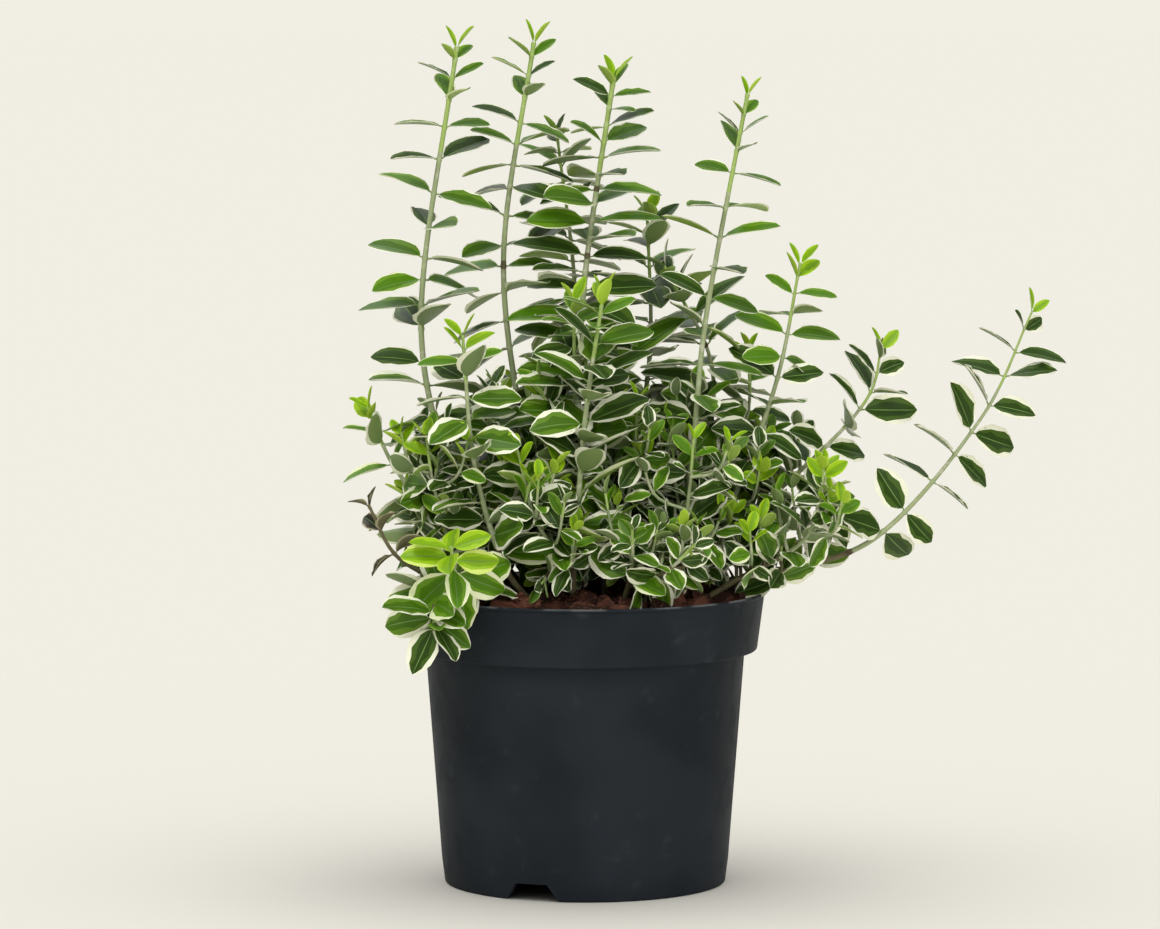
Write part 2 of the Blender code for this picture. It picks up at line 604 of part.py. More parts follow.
class Growth:
    """One shoot as it grows: its stem, its side twigs, and later its leaves, all drawn from its own seed."""

    def __init__(self, shoot, line, space):
        self.shoot, self.draw = shoot, random.Random(shoot.name)
        self.axes = [(line, shoot.pairs, shoot.leaf, shoot.turn)]
        self.solids = [tube(line, SHOOT_RADIUS, SHOOT_TIP_RADIUS, SHOOT_SIDES)]
        space.add(self.solids[0], self)

    def grow_twigs(self, space):
        """Side twigs from the lower half of the stem, where they stay clear of what is placed."""
        stem = self.axes[0][0]
        for i in range(self.shoot.twigs):
            base, direction = stem.at(stem.length * (TWIG_FIRST + TWIG_STEP * i))
            length = self.draw.uniform(*TWIG_LENGTHS)
            first_turn = self.shoot.turn + math.pi * self.draw.random()
            for turn in (first_turn + math.tau * k / TWIG_TRIES for k in range(TWIG_TRIES)):
                side = side_of(direction, turn)
                bend = base + (side + direction * TWIG_LEAN) * length * TWIG_BEND
                upward = (side * TWIG_LEAN + Vector((0, 0, TWIG_RISE))).normalized()
                twig = curve([base, bend, bend + upward * length * (1 - TWIG_BEND)])
                twig = twig.part(0, twig.length)
                clear = twig.part(2 * SHOOT_RADIUS, twig.length)
                guards = [tube(part, *(TWIG_RADIUS + 2 * GAP,) * 2, SHOOT_SIDES) for part in (twig, clear)]
                if not space.touches(guards[0], but=self) and not space.touches(guards[1]):
                    self.axes.append((twig, TWIG_PAIRS, self.shoot.leaf * TWIG_LEAF, turn))
                    self.solids.append(tube(twig, TWIG_RADIUS, SHOOT_TIP_RADIUS, SHOOT_SIDES))
                    space.add(self.solids[-1], self)
                    break

    def grow_leaves(self, space):
        """Pairs of opposite leaves along every axis, each square to the last. Returns how many there are."""
        kept = 0
        for line, pairs, largest, turn in self.axes:
            ages = (min(1, k / GROWN_PAIR) for k in range(pairs))
            spacings = [
                (YOUNG_SPACING + (1 - YOUNG_SPACING) * age) * self.draw.uniform(*SPACING_JITTER)
                for age in ages
            ]
            distance = run = line.length - TIP_SETBACK
            for k in range(pairs):
                azimuth = turn + math.pi / 2 * k + math.radians(self.draw.uniform(-TURN_JITTER, TURN_JITTER))
                spread = SPREADS[min(k, len(SPREADS) - 1)]
                length = largest * min(1, YOUNG_SIZE + SIZE_STEP * k)
                for half in range(2):
                    angle = math.radians(spread + self.draw.uniform(-SPREAD_JITTER, SPREAD_JITTER))
                    place = distance + self.draw.uniform(-PAIR_OFFSET, PAIR_OFFSET)
                    size = length * self.draw.uniform(*SIZE_JITTER)
                    kept += self.set_leaf(line, place, azimuth + math.pi * half, angle, size, space)
                distance -= run * spacings[k] / sum(spacings)
        return kept

    def set_leaf(self, line, distance, azimuth, angle, length, space):
        """One leaf in the first setting that is clear of everything. Returns whether there was one."""
        base, direction = line.at(distance)
        low = min(1, max(0, (ROLL_HEIGHT - base.z) / (ROLL_HEIGHT - SOIL_HEIGHT)))
        roll = math.radians(self.draw.uniform(-1, 1) * (ROLLS[0] + (ROLLS[1] - ROLLS[0]) * low))
        for turned, share in SETTINGS:
            side = side_of(direction, azimuth + math.radians(turned))
            along = direction * math.cos(angle) + side * math.sin(angle)
            face = Matrix.Rotation(roll, 3, along) @ (direction * math.sin(angle) - side * math.cos(angle))
            place = Matrix((along, face.cross(along), face)).transposed().to_4x4()
            place.translation = base
            size = length * share * (1 + LOW_LEAF_GROWTH * low)
            whole, blade = (leaf_guard(size, place, start) for start in (0, GUARD_START * size))
            if not space.touches(whole, but=self) and not space.touches(blade):
                self.solids.append(leaf_mesh(size, place))
                space.add(self.solids[-1], self)
                return True
        return False

    def join(self, finish):
        """Fuses the stem, twigs and leaves into the mass's one object."""
        first, *others = (object_of(f"{self.shoot.name}_{i}", bm, finish) for i, bm in enumerate(self.solids))
        boolean(first, "UNION", others)
        first.name = first.data.name = self.shoot.name


def main():
    """Builds every piece: the pot, the soil, the bare stems, then the masses of leaves in order."""
    for obj in list(bpy.data.objects):
        bpy.data.objects.remove(obj)
    plastic = material("pot_plastic", (0.024, 0.029, 0.035), 0.5)
    bark = material("bark_mulch", (0.09, 0.035, 0.02), 0.9)
    wood = material("stem_bark", (0.2, 0.24, 0.1), 0.6)
    foliage = material("leaf_green", (0.07, 0.15, 0.03), 0.45)
    stems = CLUMP + rear_stems()
    space = Space()
    space.add_object(make_pot(plastic))
    space.add_object(make_soil(bark, [stem.foot for stem in stems]))
    growths = []
    for line, stem in [(make_stem(stem, wood, space), stem) for stem in stems]:
        growths.append(Growth(stem.shoots[0], line, space))
    for stem in stems:
        for shoot in stem.shoots[1:]:
            line = curve([stem.fork, *shoot.route])
            growths.append(Growth(shoot, line.part(clear_start(line, space), line.length), space))
    for growth in growths:
        growth.grow_twigs(space)
    leaves = sum(growth.grow_leaves(space) for growth in growths)
    for growth in growths:
        growth.join(foliage)
    print(f"{len(growths)} masses with {leaves} leaves")


main()
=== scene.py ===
"""The looks of the potted emerald gaiety wintercreeper: pot, bark mulch, stems, twigs and edged leaves.

The CAD model is the frame: its origin is the middle of the pot's underside, +Z is up, and the side seen first
faces -Y. Lengths are in millimetres, which MM turns into metres.
"""

import logging
import math
import random
from collections.abc import Iterable, Sequence
from dataclasses import InitVar, dataclass, field
from enum import Enum, IntEnum

import bmesh
import bpy
import numpy as np
from mathutils import Matrix, Vector
from mathutils.bvhtree import BVHTree


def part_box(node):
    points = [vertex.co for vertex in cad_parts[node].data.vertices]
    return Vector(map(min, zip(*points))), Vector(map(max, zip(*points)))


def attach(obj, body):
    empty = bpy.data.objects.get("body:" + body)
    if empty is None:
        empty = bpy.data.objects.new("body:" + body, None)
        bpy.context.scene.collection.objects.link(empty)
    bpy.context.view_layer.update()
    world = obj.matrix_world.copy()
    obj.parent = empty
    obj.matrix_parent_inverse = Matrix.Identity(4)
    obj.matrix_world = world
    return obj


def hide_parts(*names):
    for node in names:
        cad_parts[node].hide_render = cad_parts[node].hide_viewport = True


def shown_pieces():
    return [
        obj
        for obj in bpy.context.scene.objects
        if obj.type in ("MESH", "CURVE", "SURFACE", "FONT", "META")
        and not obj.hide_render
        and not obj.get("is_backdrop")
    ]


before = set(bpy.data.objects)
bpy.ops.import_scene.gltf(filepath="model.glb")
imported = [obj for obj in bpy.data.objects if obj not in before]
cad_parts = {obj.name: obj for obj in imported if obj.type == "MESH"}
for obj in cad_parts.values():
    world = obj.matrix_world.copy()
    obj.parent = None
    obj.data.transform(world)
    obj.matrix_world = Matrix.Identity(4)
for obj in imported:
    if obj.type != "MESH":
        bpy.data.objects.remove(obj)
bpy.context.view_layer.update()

MM = 0.001
SOIL_HEIGHT = 146.0  # the top of the soil, over the pot's underside
CURVE_STEPS = 24  # how many short pieces a smooth line has between two of its points
LOG = logging.getLogger("wintercreeper")


# Finishes


class Tone(IntEnum):
    """How old a leaf is, which sets its colours."""

    DEEP = 0
    MID = 1
    FRESH = 2
    LIME = 3
    DRY = 4


class Zone(IntEnum):
    """The parts of a leaf that have a colour of their own."""

    BLADE = 0
    FLECK = 1
    MARGIN = 2
    RIB = 3
    UNDER = 4
    STALK = 5
    EDGE = 6


class Age(IntEnum):
    """The skin along a shoot, from bark at its foot to its tip."""

    BARK = 0
    GREEN = 1
    YOUNG = 2


def linear(colour: str) -> tuple[float, float, float, float]:
    """Turns an sRGB hex colour to linear red, green and blue with alpha.

    Args:
        colour: The colour as "#rrggbb".

    Returns:
        The four linear values.
    """
    parts = (int(colour[i : i + 2], 16) / 255 for i in (1, 3, 5))
    return (*(p / 12.92 if p <= 0.04045 else ((p + 0.055) / 1.055) ** 2.4 for p in parts), 1.0)


def give(tree: bpy.types.NodeTree, node: bpy.types.Node, links: dict) -> None:
    """Gives each named input of a node its value or its link.

    Args:
        tree: The tree that the node is in.
        node: The node.
        links: Its inputs by name or identifier, each a value or the socket that feeds it.
    """
    for name, value in links.items():
        entry = next(s for s in node.inputs if s.enabled and name in (s.identifier, s.name))
        if isinstance(value, bpy.types.NodeSocket):
            tree.links.new(value, entry)
        else:
            entry.default_value = value


def add_node(
    tree: bpy.types.NodeTree,
    kind: str,
    settings: dict | None = None,
    links: dict | None = None,
    output: str = "",
) -> bpy.types.NodeSocket | None:
    """Adds a node with its settings and links.

    Args:
        tree: The tree that gets the node.
        kind: The node's type.
        settings: Its properties by name.
        links: Its inputs by name or identifier, each a value or the socket that feeds it.
        output: The name of the output wanted, the first in use if none is given.

    Returns:
        That output's socket, or None for a node that has none.
    """
    node = tree.nodes.new(kind)
    for name, value in (settings or {}).items():
        setattr(node, name, value)
    give(tree, node, links or {})
    return next((s for s in node.outputs if s.enabled and output in ("", s.name)), None)


def blend(
    tree: bpy.types.NodeTree,
    value: bpy.types.NodeSocket,
    span: tuple[float, float],
    under: bpy.types.NodeSocket | tuple[float, ...],
    over: str,
    most: float = 1.0,
) -> bpy.types.NodeSocket:
    """Lays a colour over another where a value rises.

    Args:
        tree: The material's tree.
        value: The value.
        span: Where the upper colour starts to show, and where it shows most.
        under: The lower colour, linear or as a socket.
        over: The upper colour as "#rrggbb".
        most: The greatest share of it.

    Returns:
        The socket of the mixed colour.
    """
    links = {"Value": value, "From Min": span[0], "From Max": span[1], "To Max": most}
    share = add_node(tree, "ShaderNodeMapRange", {"interpolation_type": "SMOOTHSTEP"}, links)
    links = {"Factor": share, "A": under, "B": linear(over)}
    return add_node(tree, "ShaderNodeMix", {"data_type": "RGBA"}, links)


@dataclass(frozen=True)
class Finish:
    """A surface: the name of its material, its colour, and how rough and how shiny it is."""

    name: str
    colour: str
    roughness: float = 0.5
    shine: float = 0.5

    def material(self) -> bpy.types.Material:
        """Makes the material.

        Returns:
            The material, with the surface's own nodes.
        """
        made = bpy.data.materials.new(self.name)
        made.use_nodes = True
        tree = made.node_tree
        links = {"Base Color": linear(self.colour), "Roughness": self.roughness}
        links["Specular IOR Level"] = self.shine
        give(tree, tree.nodes["Principled BSDF"], links | self.dress(tree))
        return made

    def dress(self, tree: bpy.types.NodeTree) -> dict:
        """Adds the surface's own nodes.

        Args:
            tree: The material's tree.

        Returns:
            What feeds the shader's inputs, by their names.
        """
        return {}


@dataclass(frozen=True)
class LeafSkin(Finish):
    """A living leaf's waxy skin, grown: a soft sheen, faint quilting between its veins."""

    roughness: float = 0.42
    shine: float = 0.2
    quilt_size: float = 1.8
    quilt_depth: float = 0.12
    quilt_strength: float = 0.6

    def dress(self, tree: bpy.types.NodeTree) -> dict:
        """Adds the quilting.

        Args:
            tree: The material's tree.

        Returns:
            What feeds the shader's inputs, by their names.
        """
        place = add_node(tree, "ShaderNodeTexCoord", output="Object")
        links = {"Vector": place, "Scale": 1 / (self.quilt_size * MM), "Detail": 2.0}
        quilt = add_node(tree, "ShaderNodeTexNoise", links=links)
        links = {"Height": quilt, "Distance": self.quilt_depth * MM, "Strength": self.quilt_strength}
        return {"Normal": add_node(tree, "ShaderNodeBump", links=links)}


@dataclass(frozen=True)
class StemSkin(Finish):
    """A creeper's young bark, grown: fine lengthwise lines and small corky specks."""

    fleck: str = "#bcbd9c"
    roughness: float = 0.6
    shine: float = 0.3
    fleck_size: float = 5.0
    fleck_span: tuple[float, float] = (0.5, 0.72)
    grain_size: float = 0.5
    grain_depth: float = 0.15
    grain_stretch: tuple[float, float, float] = (1, 1, 0.3)

    def dress(self, tree: bpy.types.NodeTree) -> dict:
        """Adds the specks and the lines.

        Args:
            tree: The material's tree.

        Returns:
            What feeds the shader's inputs, by their names.
        """
        place = add_node(tree, "ShaderNodeTexCoord", output="Object")
        links = {"Vector": place, "Scale": 1 / (self.fleck_size * MM), "Detail": 3.0}
        specks = add_node(tree, "ShaderNodeTexNoise", links=links)
        shade = blend(tree, specks, self.fleck_span, linear(self.colour), self.fleck)
        drawn = add_node(tree, "ShaderNodeMapping", links={"Vector": place, "Scale": self.grain_stretch})
        links = {"Vector": drawn, "Scale": 1 / (self.grain_size * MM), "Detail": 2.0}
        lines = add_node(tree, "ShaderNodeTexNoise", links=links)
        relief = add_node(tree, "ShaderNodeBump", links={"Height": lines, "Distance": self.grain_depth * MM})
        return {"Base Color": shade, "Normal": relief}


@dataclass(frozen=True)
class BarkChip(Finish):
    """Chipped pine bark, torn: fibrous red-brown faces with darker ends and a dull, dry skin."""

    name: str = "chipped_pine_bark"
    colour: str = "#5f3a2c"
    roughness: float = 0.85
    shine: float = 0.2
    dark: str = "#2c1710"
    pale: str = "#96674f"
    patch_size: float = 20.0
    patch_span: tuple[float, float] = (0.42, 0.58)
    fibre_size: float = 1.6
    fibre_span: tuple[float, float] = (0.56, 0.72)
    fibre_most: float = 0.6
    fibre_depth: float = 0.35
    fibre_stretch: tuple[float, float, float] = (1, 0.35, 1.4)

    def dress(self, tree: bpy.types.NodeTree) -> dict:
        """Adds the dark patches and the fibres.

        Args:
            tree: The material's tree.

        Returns:
            What feeds the shader's inputs, by their names.
        """
        place = add_node(tree, "ShaderNodeTexCoord", output="Object")
        links = {"Vector": place, "Scale": 1 / (self.patch_size * MM), "Detail": 3.0}
        patches = add_node(tree, "ShaderNodeTexNoise", links=links)
        drawn = add_node(tree, "ShaderNodeMapping", links={"Vector": place, "Scale": self.fibre_stretch})
        links = {"Vector": drawn, "Scale": 1 / (self.fibre_size * MM), "Detail": 4.0}
        fibres = add_node(tree, "ShaderNodeTexNoise", links=links)
        shade = blend(tree, patches, self.patch_span, linear(self.dark), self.colour)
        shade = blend(tree, fibres, self.fibre_span, shade, self.pale, self.fibre_most)
        relief = add_node(tree, "ShaderNodeBump", links={"Height": fibres, "Distance": self.fibre_depth * MM})
        return {"Base Color": shade, "Normal": relief}


@dataclass(frozen=True)
class PottingSoil(Finish):
    """Damp potting compost, crumbled: near black with brown fibres."""

    name: str = "crumbled_compost"
    colour: str = "#120d0a"
    roughness: float = 0.95
    shine: float = 0.1
    fibre: str = "#33221a"
    crumb_size: float = 2.5
    crumb_depth: float = 1.5
    fibre_span: tuple[float, float] = (0.5, 0.7)

    def dress(self, tree: bpy.types.NodeTree) -> dict:
        """Adds the crumbs and the fibres among them.

        Args:
            tree: The material's tree.

        Returns:
            What feeds the shader's inputs, by their names.
        """
        place = add_node(tree, "ShaderNodeTexCoord", output="Object")
        links = {"Vector": place, "Scale": 1 / (self.crumb_size * MM), "Detail": 5.0}
        crumbs = add_node(tree, "ShaderNodeTexNoise", links=links)
        shade = blend(tree, crumbs, self.fibre_span, linear(self.colour), self.fibre)
        relief = add_node(tree, "ShaderNodeBump", links={"Height": crumbs, "Distance": self.crumb_depth * MM})
        return {"Base Color": shade, "Normal": relief}


@dataclass(frozen=True)
class PotPlastic(Finish):
    """Recycled polypropylene, injection moulded: satin slate grey with water marks, and a paler lip that is
    partly real scuffs and partly a painted highlight along its top edge.
    """

    name: str = "moulded_polypropylene"
    colour: str = "#1f2429"
    shine: float = 0.06
    cloud: str = "#272c31"
    mark: str = "#3a3f43"
    # the pale lip colour: real scuffs, and a painted highlight on the rim's top edge
    scuff_and_highlight: str = "#6e7170"
    cloud_size: float = 60.0
    mark_size: float = 14.0
    grain_size: float = 0.7  # drawn coarser than the mould's fine grain, so that it shows
    grain_depth: float = 0.02
    rim: float = 154.0
    scuff_and_highlight_height: float = 1.3  # how far down from the rim the scuffs and the painted highlight reach
    cloud_span: tuple[float, float] = (0.35, 0.65)
    mark_span: tuple[float, float] = (0.58, 0.8)
    mark_most: float = 0.6
    scuff_and_highlight_span: tuple[float, float] = (0.42, 0.6)
    scuff_and_highlight_most: float = 0.8
    dull_span: tuple[float, float] = (0.45, 0.75)
    roughnesses: tuple[float, float] = (0.52, 0.66)  # where it is clean and where it is marked

    def dress(self, tree: bpy.types.NodeTree) -> dict:
        """Adds the clouds, the water marks, the scuffs and the painted highlight at the rim, and the grain.

        Args:
            tree: The material's tree.

        Returns:
            What feeds the shader's inputs, by their names.
        """
        place = add_node(tree, "ShaderNodeTexCoord", output="Object")
        looks = ((self.cloud_size, 2.0), (self.mark_size, 6.0), (self.grain_size, 2.0))
        wanted = ({"Vector": place, "Scale": 1 / (size * MM), "Detail": detail} for size, detail in looks)
        clouds, marks, grain = [add_node(tree, "ShaderNodeTexNoise", links=links) for links in wanted]
        shade = blend(tree, clouds, self.cloud_span, linear(self.colour), self.cloud)
        shade = blend(tree, marks, self.mark_span, shade, self.mark, self.mark_most)
        height = add_node(tree, "ShaderNodeSeparateXYZ", links={"Vector": place}, output="Z")
        lip = ((self.rim - self.scuff_and_highlight_height) * MM, self.rim * MM)
        ranges = []
        for value, span, ends in (
            (marks, self.scuff_and_highlight_span, (0, self.scuff_and_highlight_most)), (height, lip, (0, 1)),
            (marks, self.dull_span, self.roughnesses),
        ):
            links = {"Value": value, "From Min": span[0], "From Max": span[1]}
            links |= {"To Min": ends[0], "To Max": ends[1]}
            ranges.append(add_node(tree, "ShaderNodeMapRange", {"interpolation_type": "SMOOTHSTEP"}, links))
        # worn is the share of the pale lip colour, set by the marks' noise within the top of the rim: real
        # scuffs, and a painted highlight on that edge
        worn, edge, roughness = ranges
        worn = add_node(tree, "ShaderNodeMath", {"operation": "MULTIPLY"}, {"Value": worn, "Value_001": edge})
        links = {"Factor": worn, "A": shade, "B": linear(self.scuff_and_highlight)}
        shade = add_node(tree, "ShaderNodeMix", {"data_type": "RGBA"}, links)
        relief = add_node(tree, "ShaderNodeBump", links={"Height": grain, "Distance": self.grain_depth * MM})
        return {"Base Color": shade, "Roughness": roughness, "Normal": relief}


@dataclass(frozen=True)
class Backdrop(Finish):
    """Matt studio board: a plain warm white that gives the picture its ground."""

    name: str = "matt_studio_board"
    colour: str = "#f3f0e3"
    roughness: float = 1.0
    shine: float = 0.0


LEAF_ZONES = (Zone.BLADE, Zone.FLECK, Zone.MARGIN, Zone.EDGE, Zone.UNDER)
LEAF_COLOURS: dict[Tone, dict[Zone, str]] = {
    Tone.DEEP: dict(zip(LEAF_ZONES, ("#2e4710", "#46611e", "#f8f8de", "#94a670", "#7e9160"))),
    Tone.MID: dict(zip(LEAF_ZONES, ("#466c0e", "#628622", "#f8f9de", "#a3b874", "#879c60"))),
    Tone.FRESH: dict(zip(LEAF_ZONES, ("#52800e", "#6d9722", "#f0f5c8", "#b6d064", "#98b352"))),
    Tone.LIME: dict(zip(LEAF_ZONES, ("#82ae0a", "#9ec61c", "#d8ea78", "#c2de4c", "#aacc3c"))),
    Tone.DRY: dict(zip(LEAF_ZONES, ("#2c2d1c", "#474130", "#a8a283", "#8a8467", "#6d6a4c"))),
}
RIB = LeafSkin("leaf_rib", "#6d8f4a", roughness=0.5)
STALK = LeafSkin("leaf_stalk", "#8ba35c", roughness=0.5)


def leaf_materials() -> dict[tuple[Tone, Zone], bpy.types.Material]:
    """Makes the material of each zone of each tone of leaf. Ribs and stalks share one each.

    Returns:
        The materials by tone and zone.
    """
    shared = {Zone.RIB: RIB.material(), Zone.STALK: STALK.material()}
    made = {}
    for tone, colours in LEAF_COLOURS.items():
        for zone in Zone:
            name = f"leaf_{tone.name}_{zone.name}".lower()
            made[tone, zone] = shared[zone] if zone in shared else LeafSkin(name, colours[zone]).material()
    return made


# Geometry Nodes


class GeometryTree:
    """A Geometry Nodes tree with named inputs, which runs once on an object and gives a plain mesh."""

    def __init__(self, name: str) -> None:
        """Starts the tree with a geometry going in and out.

        Args:
            name: The tree's name.
        """
        self.tree = bpy.data.node_groups.new(name, "GeometryNodeTree")
        self.tree.interface.new_socket("Geometry", in_out="INPUT", socket_type="NodeSocketGeometry")
        self.tree.interface.new_socket("Geometry", in_out="OUTPUT", socket_type="NodeSocketGeometry")
        self.entry = self.tree.nodes.new("NodeGroupInput")
        self.values: dict[str, object] = {}

    def input(self, name: str, kind: str, value: object) -> bpy.types.NodeSocket:
        """Adds a named input.

        Args:
            name: The input's name.
            kind: Its socket type, such as NodeSocketFloat.
            value: What it is set to on the modifier.

        Returns:
            Its socket inside the tree.
        """
        made = self.tree.interface.new_socket(name, in_out="INPUT", socket_type=kind)
        self.values[made.identifier] = value
        return self.entry.outputs[name]

    def add(
        self, kind: str, settings: dict | None = None, links: dict | None = None
    ) -> bpy.types.NodeSocket | None:
        """Adds a node with its settings and links, and gives its first output in use."""
        return add_node(self.tree, kind, settings, links)

    def attribute(self, name: str, kind: str) -> bpy.types.NodeSocket:
        """Reads a named attribute of the geometry."""
        return self.add("GeometryNodeInputNamedAttribute", {"data_type": kind}, {"Name": name})

    def finish(
        self, geometry: bpy.types.NodeSocket, finishes: Iterable[tuple[bpy.types.Material, dict[str, int]]]
    ) -> None:
        """Ends the tree by realizing the instances and setting the materials.

        Args:
            geometry: What the tree has made.
            finishes: Each material with the attributes' values where it is set. The first is set on all.
        """
        shape = self.add("GeometryNodeRealizeInstances", links={"Geometry": geometry})
        for i, (material, wanted) in enumerate(finishes):
            links = {"Geometry": shape, "Material": material}
            for name, value in wanted.items() if i else ():
                pair = {"A": self.attribute(name, "INT"), "B": value}
                chosen = self.add("FunctionNodeCompare", {"data_type": "INT", "operation": "EQUAL"}, pair)
                if "Selection" in links:
                    pair = {"Boolean": links["Selection"], "Boolean_001": chosen}
                    chosen = self.add("FunctionNodeBooleanMath", {"operation": "AND"}, pair)
                links["Selection"] = chosen
            shape = self.add("GeometryNodeSetMaterial", links=links)
        self.add("NodeGroupOutput", links={"Geometry": shape})

    def run(self, name: str, base: bpy.types.Mesh) -> bpy.types.Object:
        """Runs the tree on a mesh.

        Args:
            name: The name of the object made.
            base: The mesh that goes in, which is used up.

        Returns:
            A linked object with the plain mesh that comes out.
        """
        source = linked(name, base)
        modifier = source.modifiers.new("Shape", "NODES")
        modifier.node_group = self.tree
        for identifier, value in self.values.items():
            modifier[identifier] = value
        evaluated = source.evaluated_get(bpy.context.evaluated_depsgraph_get())
        made = bpy.data.meshes.new_from_object(evaluated)
        source.modifiers.clear()
        source.data = made
        bpy.data.meshes.remove(base)
        made.name = name
        for i in reversed(range(len(made.materials))):
            if made.materials[i] is None:
                made.materials.pop(index=i)
        return source


def linked(name: str, mesh: bpy.types.Mesh) -> bpy.types.Object:
    """Puts a mesh in the scene as an object at the origin.

    Args:
        name: The object's name.
        mesh: The mesh.

    Returns:
        The object.
    """
    made = bpy.data.objects.new(name, mesh)
    bpy.context.scene.collection.objects.link(made)
    return made


def mesh_of(name: str, bm: bmesh.types.BMesh, scale: float = MM) -> bpy.types.Mesh:
    """Turns a bmesh into a mesh.

    Args:
        name: The mesh's name.
        bm: The bmesh, which is used up.
        scale: What its lengths are multiplied by.

    Returns:
        The mesh.
    """
    bmesh.ops.scale(bm, vec=(scale,) * 3, verts=bm.verts)
    made = bpy.data.meshes.new(name)
    bm.to_mesh(made)
    bm.free()
    return made


def give_attribute(mesh: bpy.types.Mesh, name: str, kind: str, values: Sequence) -> None:
    """Puts one value on each point of a mesh.

    Args:
        mesh: The mesh.
        name: The attribute's name.
        kind: Its type, such as FLOAT.
        values: The values in the order of the points.
    """
    layer = mesh.attributes.new(name, kind, "POINT")
    key = "vector" if kind == "FLOAT_VECTOR" else "value"
    layer.data.foreach_set(key, np.array(values, dtype=int if kind == "INT" else float).ravel())


# The plant's rule


class Kind(IntEnum):
    """The kinds of leaf blade."""

    YOUNG = 0
    SLIM = 1
    BROAD = 2
    SHRIVELLED = 3


class Tip(Enum):
    """The tones of a shoot's leaves from its tip down, before it goes on in its own greens."""

    PLAIN = (Tone.FRESH,)
    PALE = (Tone.LIME, Tone.FRESH)
    LIME = (Tone.LIME, Tone.LIME, Tone.FRESH)
    WHOLE = (Tone.LIME, Tone.LIME, Tone.LIME, Tone.FRESH, Tone.FRESH, Tone.FRESH, Tone.FRESH)
    DARK = (Tone.LIME, *(Tone.DEEP,) * 12)
    DRY = (Tone.DRY,) * 9


class Region(Enum):
    """The parts of the crown that become one piece each."""

    LEFT = "left"
    MIDDLE = "middle"
    RIGHT = "right"
    FRONT = "front"
    REAR = "rear"


@dataclass(frozen=True)
class Shoot:
    """One leafy shoot: the points its stem passes up to its tip, and its pairs of leaves.

    leaf is the length of its largest leaves, turn the angle of the pair at its tip, and twigs the number of
    its main side twigs. reach is how far from the middle of the pot finer ones start, and girth its radius at
    the tip. wider is by how many degrees its leaves stand off more than others, and ahead by what distance
    they are larger sooner. flat is how far its pairs turn into one plane, lit how far their faces turn to the
    light besides, and hangs whether it hangs over the rim.
    """

    name: str
    route: tuple[tuple[float, float, float], ...]
    pairs: int
    leaf: float
    turn: float = 0
    twigs: int = 0
    tip: Tip = Tip.PLAIN
    reach: float = 128
    girth: float = 0.7
    wider: float = 0
    ahead: float = 0
    flat: float = 0
    lit: float = 0
    hangs: bool = False


@dataclass(frozen=True)
class Stem:
    """A bare stem from its foot at the soil to its fork, and the shoots from there, the first straight on."""

    name: str
    region: Region
    foot: tuple[float, float]
    fork: tuple[float, float, float]
    shoots: tuple[Shoot, ...]


